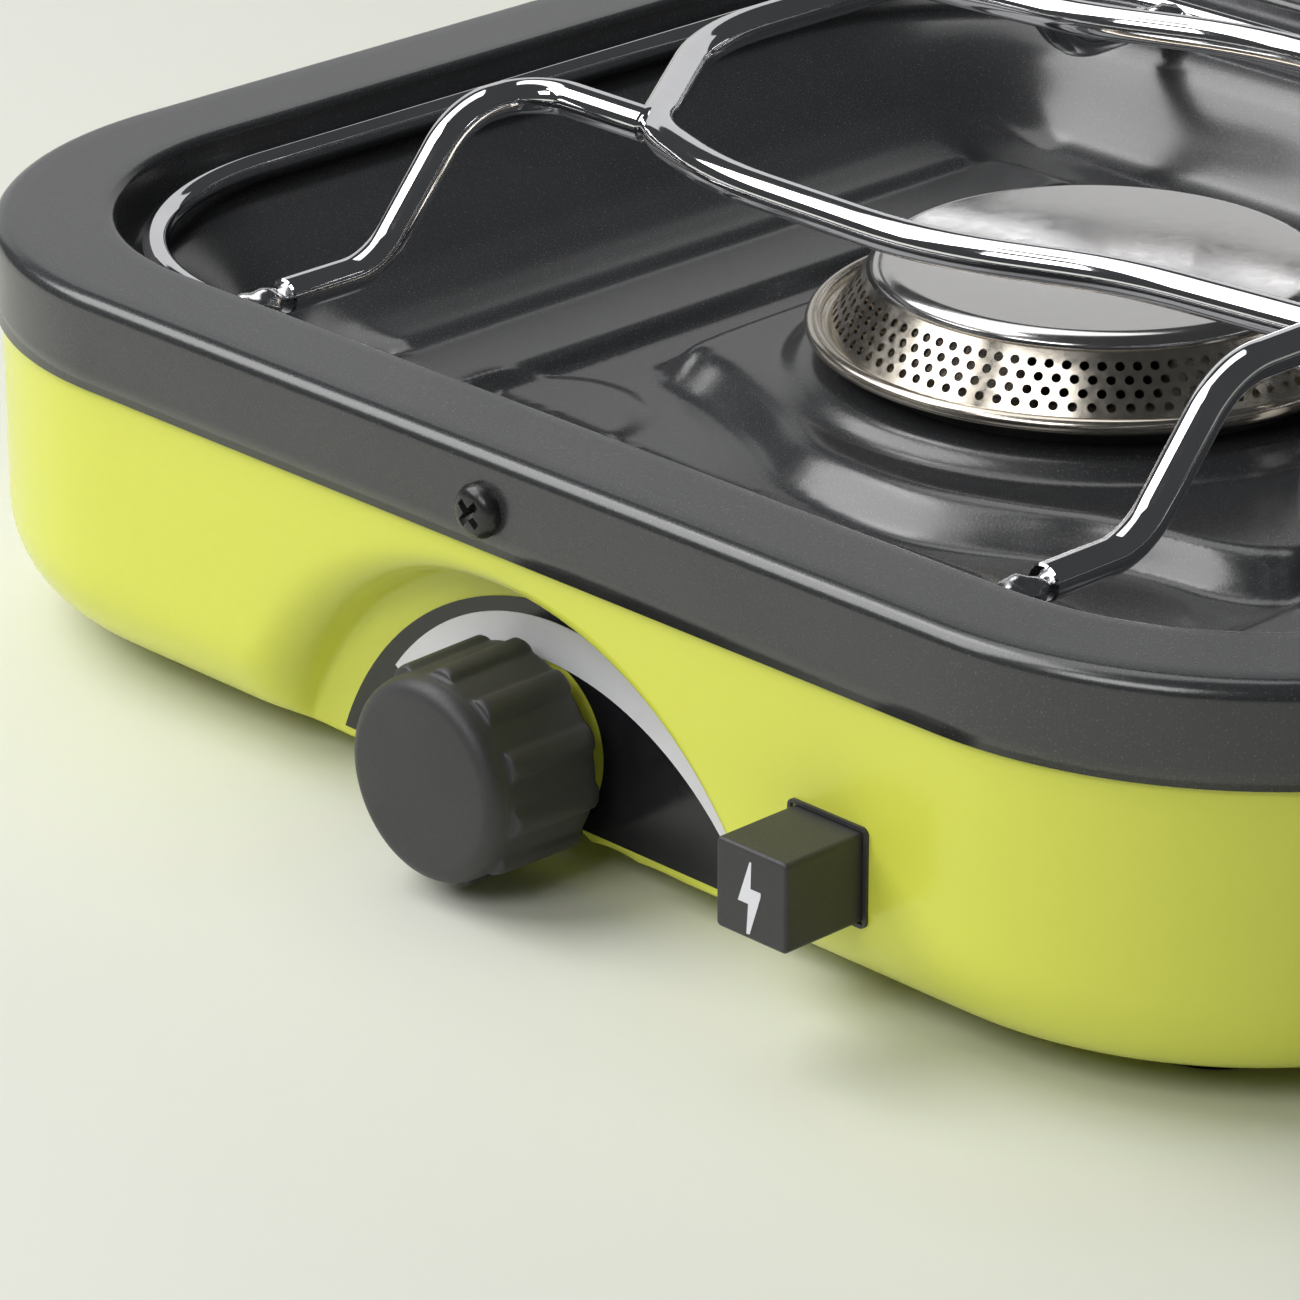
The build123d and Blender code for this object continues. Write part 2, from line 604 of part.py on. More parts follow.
# ---- piezo igniter -------------------------------------------------------------------
IGNITER_REAR = -82.0
BORE = BUTTON_SIZE / 2 + BUTTON_FIT
HOUSING = 16.4           # square outside of the igniter
BUTTON_REAR = wall_inner + 9.0
SPRING_REAR = BUTTON_REAR + BUTTON_TRAVEL + 6.0


def button_plane(y):
    """Upright plane through the button's axis at a depth, facing the front."""
    return Plane((BUTTON_X, y, BUTTON_Z), x_dir=(1, 0, 0), z_dir=(0, -1, 0))


with BuildPart() as igniter_body:
    with BuildSketch(button_plane(wall_inner + 1.4)):
        RectangleRounded(HOUSING, HOUSING, 1.5)
    extrude(amount=-(IGNITER_REAR - wall_inner - 1.4))
    with BuildSketch(button_plane(wall_inner)):
        Rectangle(2 * BORE, 2 * BORE)
    extrude(amount=-(SPRING_REAR - wall_inner), mode=Mode.SUBTRACT)
    with BuildSketch(button_plane(IGNITER_REAR)):
        Circle(3.0)
    extrude(amount=-3)
finish(igniter_body, "igniter_body")

with BuildPart() as igniter_bezel:
    with BuildSketch(button_plane(wall_outer)):
        RectangleRounded(LINER + 0.6, LINER + 0.6, 1.1)
        Rectangle(2 * BORE, 2 * BORE, mode=Mode.SUBTRACT)
    extrude(amount=0.5)
    with BuildSketch(button_plane(wall_outer)):
        RectangleRounded(LINER, LINER, 0.9)
        Rectangle(2 * BORE, 2 * BORE, mode=Mode.SUBTRACT)
    extrude(amount=-1.3)
finish(igniter_bezel, "igniter_bezel")

with BuildPart() as igniter_clip:
    with BuildSketch(button_plane(wall_inner + 4.0)):
        RectangleRounded(20.8, 17.6, 1.5)
        RectangleRounded(HOUSING, HOUSING, 1.5, mode=Mode.SUBTRACT)
    extrude(amount=2.4)
finish(igniter_clip, "igniter_clip")

with BuildPart() as igniter_button:
    with BuildSketch(button_plane(BUTTON_REAR)):
        Rectangle(BUTTON_SIZE, BUTTON_SIZE)
    extrude(amount=BUTTON_REAR - BUTTON_FRONT)
    fillet(igniter_button.edges().filter_by(Axis.Y), 0.8)
    fillet(igniter_button.faces().sort_by(Axis.Y)[0].edges(), 0.6)
    with BuildSketch(button_plane(BUTTON_REAR)):
        Circle(4.6)
    extrude(amount=6, mode=Mode.SUBTRACT)
finish(igniter_button, "igniter_button")

with BuildPart() as igniter_spring:
    with BuildLine() as coil:
        Helix(pitch=2.6, height=SPRING_REAR - BUTTON_REAR - 1.2, radius=3.6,
              center=(BUTTON_X, SPRING_REAR - 0.6, BUTTON_Z), direction=(0, -1, 0))
    with BuildSketch(Plane(coil.line @ 0, z_dir=coil.line % 0)):
        Circle(0.45)
    sweep(path=coil.line, is_frenet=True)
finish(igniter_spring, "igniter_spring")

# ---- ignition lead, clipped under the tray -------------------------------------------
LEAD_RADIUS = 1.5
lead_points = [
    Vector(BUTTON_X, IGNITER_REAR + 3.0, BUTTON_Z),
    Vector(BUTTON_X, -52, BUTTON_Z),
    Vector(58, -28, 14),
    Vector(SPARK.X, SPARK.Y, 12),
    Vector(SPARK.X, SPARK.Y, SPARK_FOOT - 4),
]

with BuildPart() as ignition_lead:
    with BuildLine() as lead_path:
        FilletPolyline(*lead_points, radius=[20, 14, 7])
    with BuildSketch(Plane(lead_points[0], z_dir=(0, 1, 0))):
        Circle(LEAD_RADIUS)
    sweep(path=lead_path.wire())
finish(ignition_lead, "ignition_lead")

# ---- gas inlet and pipe --------------------------------------------------------------
PIPE_RADIUS = 3.0
INLET_INSIDE = 113.0
INLET_HEX = 10.5         # the inlet's hexagon and its nut, corner radius
COLLAR_END = body_y + 3.9    # just past the nut
GROOVE_END = COLLAR_END + 1.5

with BuildPart() as inlet_fitting:
    with BuildSketch(Plane.XZ.offset(-INLET_INSIDE)):
        with Locations((INLET_X, INLET_Z)):
            Circle(SPIGOT)
    extrude(amount=-6)
    with BuildSketch(Plane.XZ.offset(-(body_y - SHELL - 4.3))):
        with Locations((INLET_X, INLET_Z)):
            RegularPolygon(INLET_HEX, 6)
    extrude(amount=-4.0)
    # threaded collar through the wall, relief groove, then the hose's stub
    with BuildSketch(Plane.XZ.offset(-(body_y - SHELL - 0.3))):
        with Locations((INLET_X, INLET_Z)):
            Circle(INLET_THREAD)
    extrude(amount=-(COLLAR_END - body_y + SHELL + 0.3))
    with BuildSketch(Plane.XZ.offset(-COLLAR_END)):
        with Locations((INLET_X, INLET_Z)):
            Circle(INLET_STUB - 0.7)
    extrude(amount=-(GROOVE_END - COLLAR_END))
    with BuildSketch(Plane.XZ.offset(-GROOVE_END)):
        with Locations((INLET_X, INLET_Z)):
            Circle(INLET_STUB)
    extrude(amount=-(INLET_REACH - GROOVE_END))
    chamfer(inlet_fitting.faces().sort_by(Axis.Y)[-1].edges(), 0.8)
    with BuildSketch(Plane.XZ.offset(-INLET_INSIDE + 1)):
        with Locations((INLET_X, INLET_Z)):
            Circle(2.4)
    extrude(amount=-40, mode=Mode.SUBTRACT)
finish(inlet_fitting, "inlet_fitting")

with BuildPart() as inlet_nut:
    with BuildSketch(Plane.XZ.offset(-body_y)):
        with Locations((INLET_X, INLET_Z)):
            RegularPolygon(INLET_HEX, 6)
            Circle(INLET_THREAD, mode=Mode.SUBTRACT)
    extrude(amount=-3.5)
finish(inlet_nut, "inlet_nut")

with BuildPart() as gas_pipe:
    with BuildLine() as pipe_path:
        FilletPolyline((INLET_X, INLET_INSIDE, INLET_Z), (INLET_X, 0, INLET_Z),
                       (INLET_X, PIPE_Y, KNOB_Z), (-15, PIPE_Y, KNOB_Z), radius=[200, 24])
    with BuildSketch(Plane((INLET_X, INLET_INSIDE, INLET_Z), z_dir=(0, -1, 0))):
        Circle(PIPE_RADIUS)
        Circle(PIPE_RADIUS - 1.0, mode=Mode.SUBTRACT)
    sweep(path=pipe_path.wire())
finish(gas_pipe, "gas_pipe")

PIPE_NUT = 7.5           # corner radius

with BuildPart() as pipe_nuts:
    with BuildSketch(Plane.XZ.offset(-INLET_INSIDE + 7)):
        with Locations((INLET_X, INLET_Z)):
            RegularPolygon(PIPE_NUT, 6)
    extrude(amount=-12)
    with BuildSketch(Plane.YZ.offset(-22)):
        with Locations((PIPE_Y, KNOB_Z)):
            RegularPolygon(PIPE_NUT, 6)
    extrude(amount=10)
    # each nut holds the pipe's end in a bore and the fitting's spigot in a wider one
    with BuildSketch(Plane.XZ.offset(-INLET_INSIDE + 8)):
        with Locations((INLET_X, INLET_Z)):
            Circle(PIPE_RADIUS)
    extrude(amount=-10, mode=Mode.SUBTRACT)
    with BuildSketch(Plane.XZ.offset(-INLET_INSIDE)):
        with Locations((INLET_X, INLET_Z)):
            Circle(SPIGOT)
    extrude(amount=-8, mode=Mode.SUBTRACT)
    with BuildSketch(Plane.YZ.offset(-23)):
        with Locations((PIPE_Y, KNOB_Z)):
            Circle(PIPE_RADIUS)
    extrude(amount=12, mode=Mode.SUBTRACT)
    with BuildSketch(Plane.YZ.offset(-15)):
        with Locations((PIPE_Y, KNOB_Z)):
            Circle(SPIGOT)
    extrude(amount=6, mode=Mode.SUBTRACT)
finish(pipe_nuts, "pipe_nuts")

# ---- feet ----------------------------------------------------------------------------
FOOT_RECESS = 3.0        # depth of the recess that hides the screw's head

with BuildPart() as feet:
    with BuildSketch():
        with Locations(*foot_places):
            Circle(FOOT_RADIUS)
    extrude(amount=BASE)
    chamfer(feet.faces().filter_by(Axis.Z).group_by(Axis.Z)[0].edges(), 0.8)
    with BuildSketch():
        with Locations(*foot_places):
            Circle(4.4)
    extrude(amount=FOOT_RECESS, mode=Mode.SUBTRACT)
    with BuildSketch():
        with Locations(*foot_places):
            Circle(SCREW_HOLE)
    extrude(amount=BASE, mode=Mode.SUBTRACT)
finish(feet, "feet")

with BuildPart() as foot_screws:
    with BuildSketch(Plane.XY.offset(FOOT_RECESS)):
        with Locations(*foot_places):
            Circle(3.8)
    extrude(amount=-2.0)
    with BuildSketch(Plane.XY.offset(FOOT_RECESS)):
        with Locations(*foot_places):
            Circle(M4)
    extrude(amount=8)
finish(foot_screws, "foot_screws")

with BuildPart() as foot_nuts:
    with BuildSketch(Plane.XY.offset(BASE + SHELL)):
        with Locations(*foot_places):
            RegularPolygon(4.0, 6)
            Circle(M4, mode=Mode.SUBTRACT)
    extrude(amount=3.2)
finish(foot_nuts, "foot_nuts")

# ---- pan support: a wire ring and four bent fingers welded to it --------------------
ring_x = well_x - RING_INSET
ring_y = well_y - RING_INSET
RING_CORNER = 46.0

with BuildPart() as pan_ring:
    with BuildLine() as half_ring:
        FilletPolyline((0, -ring_y, RING_Z), (ring_x, -ring_y, RING_Z), (ring_x, ring_y, RING_Z),
                       (0, ring_y, RING_Z), radius=RING_CORNER)
    with BuildSketch(Plane((0, -ring_y, RING_Z), x_dir=(0, 1, 0), z_dir=(1, 0, 0))):
        Circle(RING_WIRE)
    sweep(path=half_ring.wire())
    mirror(about=Plane.YZ)
finish(pan_ring, "pan_ring")

LEG_FOOT = -94.7         # cut end of a leg's straight foot, Y
LEG_BEND = -76.5
LEG_HEAD = -59.0

long_wire = [
    (LEG_X, LEG_FOOT, RING_Z), (LEG_X, LEG_BEND, RING_Z), (LEG_X, LEG_HEAD, FINGER_TOP),
    (LEG_X, 8, FINGER_TOP), (50, 44.5, FINGER_TOP), (28, 52, FINGER_TOP),
    (-14, 52.6, FINGER_TOP), (-42, 41, FINGER_TOP), (FINGER_WIRE + 0.35 - LEG_X, 37.8, FINGER_TOP),
]
long_radii = [13, 14, 40, 25, 60, 60, 60]
short_wire = [
    (-LEG_X, LEG_FOOT, RING_Z), (-LEG_X, LEG_BEND, RING_Z), (-LEG_X, LEG_HEAD, FINGER_TOP),
    (-LEG_X, -43.3, FINGER_TOP), (-51.6, -43.3, FINGER_TOP),
]
short_radii = [13, 14, 8]


def turned(points):
    """The same wire, half a turn about the burner's axis."""
    return [(-x, -y, z) for x, y, z in points]


def finger(points, radii, label, butts_on):
    """One bent wire with the weld that joins its foot to the ring."""
    start = Vector(*points[0])
    outwards = 1 if start.Y > 0 else -1
    with BuildPart() as wire:
        with BuildLine() as path:
            FilletPolyline(*points, radius=radii)
        with BuildSketch(Plane(start, z_dir=(0, -outwards, 0))):
            Circle(FINGER_WIRE)
        sweep(path=path.wire())
        with BuildSketch(Plane(start, z_dir=(0, outwards, 0))):
            Circle(FINGER_WIRE - 0.5)
        extrude(amount=ring_y - abs(start.Y) - RING_WIRE + 0.3)
        add(butts_on, mode=Mode.SUBTRACT)
    finish(wire, label)
    return wire


pan_finger_right = finger(long_wire, long_radii, "pan_finger_right", [pan_ring.part])
pan_finger_left = finger(turned(long_wire), long_radii, "pan_finger_left", [pan_ring.part])
pan_finger_front = finger(short_wire, short_radii, "pan_finger_front",
                          [pan_ring.part, pan_finger_left.part])
pan_finger_back = finger(turned(short_wire), short_radii, "pan_finger_back",
                         [pan_ring.part, pan_finger_right.part])
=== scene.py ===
"""Looks of the single-burner camping stove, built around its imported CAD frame.

Shapes are worked out in millimetres in the CAD frame and scaled once, in mesh_object().
"""
import json
import math

import bmesh
import bpy
import numpy as np
from mathutils import Matrix, Vector


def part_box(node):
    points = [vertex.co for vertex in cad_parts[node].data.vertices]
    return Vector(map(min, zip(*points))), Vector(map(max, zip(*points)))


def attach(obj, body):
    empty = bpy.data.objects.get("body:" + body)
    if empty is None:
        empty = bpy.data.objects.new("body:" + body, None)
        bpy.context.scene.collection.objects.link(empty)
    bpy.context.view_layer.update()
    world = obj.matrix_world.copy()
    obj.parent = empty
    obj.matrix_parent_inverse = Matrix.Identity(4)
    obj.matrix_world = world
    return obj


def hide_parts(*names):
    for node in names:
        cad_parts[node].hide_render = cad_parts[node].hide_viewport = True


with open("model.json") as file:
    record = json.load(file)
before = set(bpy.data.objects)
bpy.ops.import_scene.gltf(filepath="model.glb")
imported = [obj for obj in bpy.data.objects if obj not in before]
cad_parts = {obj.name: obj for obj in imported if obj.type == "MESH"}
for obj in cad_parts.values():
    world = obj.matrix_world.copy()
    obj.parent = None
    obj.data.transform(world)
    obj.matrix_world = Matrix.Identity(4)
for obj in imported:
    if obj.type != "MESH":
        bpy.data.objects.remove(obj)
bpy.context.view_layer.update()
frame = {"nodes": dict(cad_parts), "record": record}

MM = 0.001


def box_mm(node):
    """Lowest and highest corner of a CAD node, in millimetres."""
    low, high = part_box(node)
    return low / MM, high / MM


# ---- dimensions, read from the frame or shared with the CAD -------------------------
tray_low, tray_high = box_mm("top_tray")
shell_low, shell_high = box_mm("body_shell")
knob_low, knob_high = box_mm("control_knob")
button_low, button_high = box_mm("igniter_button")
cap_low, cap_high = box_mm("burner_cap")
dish_low, dish_high = box_mm("burner_dish")
band_low, band_high = box_mm("burner_ring")
ring_low, ring_high = box_mm("pan_ring")

RIM_TOP = tray_high.z
SHEET = 0.8
FLOOR_Z = tray_low.z + SHEET          # well's floor
SKIRT_CORNER = 60.0
SKIRT_BOTTOM = RIM_TOP - 14.4
WELL_INSET = 17.5                     # rim's outside to the well's edge
WELL_X, WELL_Y = tray_high.x - WELL_INSET, tray_high.y - WELL_INSET
WELL_CORNER = 45.0

BODY_X, BODY_Y = shell_high.x, shell_high.y
BODY_CORNER = 59.0
BASE = shell_low.z
BOTTOM_ROUND = 15.0
PANEL_DEPTH = 10.0                    # control panel behind the front wall
RECESS_X, RECESS_Z = 1.5, -10.5
RECESS_RADIUS = 52.6
RECESS_FLARE = 2.0

RING_WIRE, FINGER_WIRE = 2.0, 2.75    # radii
RING_Z = (ring_low.z + ring_high.z) / 2
RING_Y = ring_high.y - RING_WIRE
RING_X = ring_high.x - RING_WIRE
RING_CORNER = 46.0
FINGER_TOP = 79.0                     # middle of the wires' level runs
LEG_X, LEG_FOOT = 75.8, 94.7


# ---- mesh helpers --------------------------------------------------------------------
def mesh_object(name, points, faces, smooth=True):
    """A linked mesh object from points in millimetres."""
    mesh = bpy.data.meshes.new(name)
    mesh.from_pydata([(p[0] * MM, p[1] * MM, p[2] * MM) for p in points], [], faces)
    mesh.update()
    for polygon in mesh.polygons:
        polygon.use_smooth = smooth
    piece = bpy.data.objects.new(name, mesh)
    bpy.context.scene.collection.objects.link(piece)
    return piece


def skin(loops, closed=True, offset=0):
    """Quads between neighbouring loops of equal length."""
    count = len(loops[0])
    span = count if closed else count - 1
    faces = []
    for k in range(len(loops) - 1):
        a, b = offset + k * count, offset + (k + 1) * count
        for i in range(span):
            j = (i + 1) % count
            faces.append((a + i, a + j, b + j, b + i))
    return faces


def weld(piece, distance=0.0005):
    """Merge points that lie together and make the normals agree."""
    bm = bmesh.new()
    bm.from_mesh(piece.data)
    bmesh.ops.remove_doubles(bm, verts=bm.verts, dist=distance * MM)
    bmesh.ops.recalc_face_normals(bm, faces=bm.faces)
    bm.to_mesh(piece.data)
    bm.free()


def apply_modifiers(piece):
    """Turn a piece's modifiers into its mesh."""
    graph = bpy.context.evaluated_depsgraph_get()
    mesh = bpy.data.meshes.new_from_object(piece.evaluated_get(graph))
    piece.modifiers.clear()
    piece.data = mesh


def thicken(piece, thickness, offset=-1.0):
    """Give a one-sided sheet its thickness."""
    solid = piece.modifiers.new("sheet", "SOLIDIFY")
    solid.thickness = thickness * MM
    solid.offset = offset
    apply_modifiers(piece)


def shade_by_angle(piece, degrees=35):
    """Smooth shading that keeps edges sharper than an angle."""
    limit = math.radians(degrees)
    bm = bmesh.new()
    bm.from_mesh(piece.data)
    for edge in bm.edges:
        if len(edge.link_faces) == 2 and edge.calc_face_angle(0) > limit:
            edge.smooth = False
    for face in bm.faces:
        face.smooth = True
    bm.to_mesh(piece.data)
    bm.free()


def smoothstep(low, high, value):
    t = np.clip((value - low) / (high - low), 0.0, 1.0)
    return t * t * (3 - 2 * t)


def rect_reach(angle, half_x, half_y, corner):
    """Distance from the middle to a rounded rectangle's outline along an angle."""
    c, s = abs(math.cos(angle)), abs(math.sin(angle))
    inner_x, inner_y = half_x - corner, half_y - corner
    if half_x * s <= inner_y * c:
        return half_x / c
    if half_y * c <= inner_x * s:
        return half_y / s
    along = c * inner_x + s * inner_y
    return along + math.sqrt(along ** 2 - inner_x ** 2 - inner_y ** 2 + corner ** 2)


def rect_loop(half_x, half_y, corner, z, count):
    """A rounded rectangle's outline, by equal angles about the middle."""
    loop = []
    for i in range(count):
        angle = 2 * math.pi * i / count
        reach = rect_reach(angle, half_x, half_y, corner)
        loop.append((reach * math.cos(angle), reach * math.sin(angle), z))
    return loop


def turned(name, profile, count=256, closed_profile=False):
    """A body of revolution about Z from (radius, z) points."""
    rows = profile + profile[:1] if closed_profile else profile
    points = []
    for radius, z in rows:
        for i in range(count):
            angle = 2 * math.pi * i / count
            points.append((radius * math.cos(angle), radius * math.sin(angle), z))
    faces = skin([points[k * count:(k + 1) * count] for k in range(len(rows))])
    piece = mesh_object(name, points, faces)
    weld(piece)
    return piece


def arc(cx, cz, radius, start, end, steps):
    """Points of an arc in a profile, angles in degrees."""
    angles = [math.radians(start + (end - start) * k / steps) for k in range(steps + 1)]
    return [(cx + radius * math.cos(a), cz + radius * math.sin(a)) for a in angles]


# ---- materials -----------------------------------------------------------------------
def surface(name, dark, light, roughness, metallic=0.0, mottle=60.0, grain=1500.0, bump=0.0,
            specular=0.5):
    """A Principled surface whose colour, roughness and height vary with noise.

    mottle and grain are noise scales per metre; roughness is a (low, high) pair.
    """
    mat = bpy.data.materials.new(name)
    mat.use_nodes = True
    nodes, links = mat.node_tree.nodes, mat.node_tree.links
    shader = nodes["Principled BSDF"]
    shader.inputs["Metallic"].default_value = metallic
    shader.inputs["Specular IOR Level"].default_value = specular
    coords = nodes.new("ShaderNodeTexCoord")
    broad = nodes.new("ShaderNodeTexNoise")
    broad.inputs["Scale"].default_value = mottle
    broad.inputs["Detail"].default_value = 3.0
    links.new(coords.outputs["Object"], broad.inputs["Vector"])
    fine = nodes.new("ShaderNodeTexNoise")
    fine.inputs["Scale"].default_value = grain
    fine.inputs["Detail"].default_value = 2.0
    links.new(coords.outputs["Object"], fine.inputs["Vector"])
    ramp = nodes.new("ShaderNodeValToRGB")
    ramp.color_ramp.elements[0].position = 0.3
    ramp.color_ramp.elements[0].color = (*dark, 1)
    ramp.color_ramp.elements[1].position = 0.7
    ramp.color_ramp.elements[1].color = (*light, 1)
    links.new(broad.outputs["Fac"], ramp.inputs["Fac"])
    links.new(ramp.outputs["Color"], shader.inputs["Base Color"])
    spread = nodes.new("ShaderNodeMapRange")
    spread.inputs["From Min"].default_value = 0.3
    spread.inputs["From Max"].default_value = 0.7
    spread.inputs["To Min"].default_value = roughness[0]
    spread.inputs["To Max"].default_value = roughness[1]
    links.new(fine.outputs["Fac"], spread.inputs["Value"])
    links.new(spread.outputs["Result"], shader.inputs["Roughness"])
    if bump:
        height = nodes.new("ShaderNodeBump")
        height.inputs["Strength"].default_value = bump
        height.inputs["Distance"].default_value = 0.0001
        links.new(fine.outputs["Fac"], height.inputs["Height"])
        links.new(height.outputs["Normal"], shader.inputs["Normal"])
    return mat


def add_flecks(mat, colour, scale, threshold):
    """Scatter small lighter flecks over a surface's colour."""
    nodes, links = mat.node_tree.nodes, mat.node_tree.links
    shader = nodes["Principled BSDF"]
    below = shader.inputs["Base Color"].links[0].from_socket
    coords = nodes["Texture Coordinate"]
    dots = nodes.new("ShaderNodeTexNoise")
    dots.inputs["Scale"].default_value = scale
    dots.inputs["Detail"].default_value = 1.0
    links.new(coords.outputs["Object"], dots.inputs["Vector"])
    mask = nodes.new("ShaderNodeMapRange")
    mask.inputs["From Min"].default_value = threshold
    mask.inputs["From Max"].default_value = threshold + 0.12
    links.new(dots.outputs["Fac"], mask.inputs["Value"])
    mix = nodes.new("ShaderNodeMix")
    mix.data_type = "RGBA"
    mix.inputs[7].default_value = (*colour, 1)
    links.new(mask.outputs["Result"], mix.inputs["Factor"])
    links.new(below, mix.inputs[6])
    links.new(mix.outputs[2], shader.inputs["Base Color"])


lime_paint = surface("lime_paint", (0.735, 0.775, 0.090), (0.750, 0.790, 0.098), (0.20, 0.24),
                     mottle=12, grain=260, bump=0.02)
tray_enamel = surface("tray_enamel", (0.027, 0.028, 0.029), (0.033, 0.034, 0.036), (0.19, 0.25),
                      mottle=40, grain=2600, bump=0.10, specular=0.8)
add_flecks(tray_enamel, (0.08, 0.083, 0.086), 3600, 0.62)
screw_black = surface("screw_black", (0.012, 0.012, 0.012), (0.02, 0.02, 0.02), (0.22, 0.34),
                      grain=1800, bump=0.15)
chrome = surface("chrome_wire", (0.80, 0.80, 0.82), (0.86, 0.86, 0.88), (0.04, 0.07),
                 metallic=1.0, mottle=120, grain=300, bump=0.03)
weld_metal = surface("weld_metal", (0.55, 0.55, 0.56), (0.72, 0.72, 0.73), (0.12, 0.32),
                     metallic=1.0, mottle=500, grain=900, bump=0.3)
cap_steel = surface("cap_steel", (0.62, 0.61, 0.60), (0.65, 0.64, 0.63), (0.13, 0.18),
                    metallic=1.0, mottle=30, grain=500)
band_steel = surface("band_steel", (0.58, 0.53, 0.45), (0.66, 0.61, 0.53), (0.16, 0.23),
                     metallic=1.0, mottle=45, grain=900)
zinc = surface("zinc_steel", (0.52, 0.52, 0.50), (0.64, 0.64, 0.62), (0.28, 0.42),
               metallic=1.0, mottle=200, grain=1300, bump=0.15)
brass = surface("brass", (0.66, 0.47, 0.20), (0.76, 0.58, 0.28), (0.24, 0.36),
                metallic=1.0, mottle=90, grain=1400, bump=0.1)
copper = surface("copper", (0.66, 0.34, 0.22), (0.76, 0.44, 0.30), (0.25, 0.4),
                 metallic=1.0, mottle=70, grain=1000, bump=0.1)
knob_plastic = surface("knob_plastic", (0.034, 0.033, 0.036), (0.041, 0.040, 0.043),
                       (0.44, 0.54), mottle=80, grain=2400, bump=0.30)
sticker_gloss = surface("sticker_gloss", (0.010, 0.010, 0.012), (0.014, 0.014, 0.016),
                        (0.14, 0.20), mottle=60, grain=900, bump=0.03)
white_print = surface("white_print", (0.74, 0.74, 0.80), (0.80, 0.80, 0.86), (0.30, 0.38),
                      mottle=90, grain=1500)
ceramic = surface("ceramic", (0.74, 0.72, 0.68), (0.82, 0.80, 0.76), (0.18, 0.28),
                  mottle=150, grain=900)
lead_rubber = surface("lead_rubber", (0.26, 0.03, 0.025), (0.34, 0.05, 0.04), (0.4, 0.5),
                      grain=1500, bump=0.1)
foot_rubber = surface("foot_rubber", (0.014, 0.014, 0.014), (0.022, 0.022, 0.022),
                      (0.62, 0.74), grain=1800, bump=0.3)
burner_black = surface("burner_black", (0.018, 0.018, 0.019), (0.032, 0.031, 0.030),
                       (0.42, 0.56), mottle=120, grain=1600, bump=0.3)

SLOT_MATERIALS = {
    "lime_paint": lime_paint, "black_enamel": tray_enamel, "black_steel": screw_black,
    "zinc_steel": zinc, "stainless": cap_steel, "burner_black": burner_black,
    "chrome_wire": chrome, "brass": brass, "copper": copper, "black_plastic": knob_plastic,
    "gloss_black_print": sticker_gloss, "white_print": white_print, "ceramic": ceramic,
    "lead_rubber": lead_rubber, "black_rubber": foot_rubber,
}


def dress_cad_nodes():
    """Give every CAD node the material of its slot."""
    for part in frame["record"]["subparts"]:
        data = frame["nodes"][part["node"]].data
        data.materials.clear()
        data.materials.append(SLOT_MATERIALS[part["material_slot"]])


def dress(piece, mat, body, slot, *nodes):
    """Material, body and the CAD nodes that a new piece stands for; the slot argument is not
    used.
    """
    piece.data.materials.clear()
    piece.data.materials.append(mat)
    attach(piece, body)
    if nodes:
        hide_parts(*nodes)


# ---- pressed tray --------------------------------------------------------------------
TRAY_SPANS = 640
RIM_ROUND = 2.5
THROAT = 13.2
PLATFORM_RISE, TERRACE_RISE = 6.0, 3.0
BAND_RISE, PAD_RISE = 2.7, 0.6

# front halves of the platform's outlines, left to right; the back mirrors them
PLATFORM_TOP = [(-50, -29), (-46, -36.0), (-37, -38.6), (-21, -45), (-7, -52.2),
                (6, -53.6), (16, -52.4), (24.5, -49.8), (33, -46.6), (40, -43.2),
                (50, -40.2), (59, -38.2), (65, -34), (67.5, -26)]
PLATFORM_FOOT = [(-58, -30), (-53, -40.5), (-40, -44.6), (-27, -49.4), (-12, -57.4),
                 (2, -61), (16, -61.4), (26, -58.2), (35, -52.8), (44, -47.8),
                 (53, -45.6), (63, -44.4), (71, -40), (74.5, -29)]


def smooth_outline(front, steps=6):
    """A closed smooth curve through an outline's front points and their mirror images."""
    ring = front + [(x, -y) for x, y in reversed(front)]
    count, points = len(ring), []
    for i in range(count):
        p0, p1, p2, p3 = (np.array(ring[(i + k) % count], float) for k in (-1, 0, 1, 2))
        for k in range(steps):
            t = k / steps
            points.append(0.5 * (2 * p1 + (p2 - p0) * t + (2 * p0 - 5 * p1 + 4 * p2 - p3) * t ** 2
                                 + (3 * p1 - p0 - 3 * p2 + p3) * t ** 3))
    return np.array(points)


TOP_OUTLINE, FOOT_OUTLINE = smooth_outline(PLATFORM_TOP), smooth_outline(PLATFORM_FOOT)


def signed_inside(x, y, outline):
    """Distance to a closed outline, positive inside it."""
    start, end = outline, np.roll(outline, -1, axis=0)
    nearest = np.full(x.shape, 1e9)
    inside = np.zeros(x.shape, bool)
    for (ax, ay), (bx, by) in zip(start, end):
        ex, ey = bx - ax, by - ay
        t = np.clip(((x - ax) * ex + (y - ay) * ey) / (ex * ex + ey * ey), 0, 1)
        nearest = np.minimum(nearest, np.hypot(x - ax - t * ex, y - ay - t * ey))
        crosses = (ay > y) != (by > y)
        with np.errstate(divide="ignore", invalid="ignore"):
            inside ^= crosses & (x < ex * (y - ay) / (by - ay if by != ay else 1e-9) + ax)
    return np.where(inside, nearest, -nearest)


def rounded_profile(points, reach):
    """A function through (distance, z) points whose corners are rounded over a reach."""
    xs, zs = np.array(points).T
    shifts = np.linspace(-reach, reach, 9)
    return lambda d: sum(np.interp(d + s, xs, zs) for s in shifts) / len(shifts)


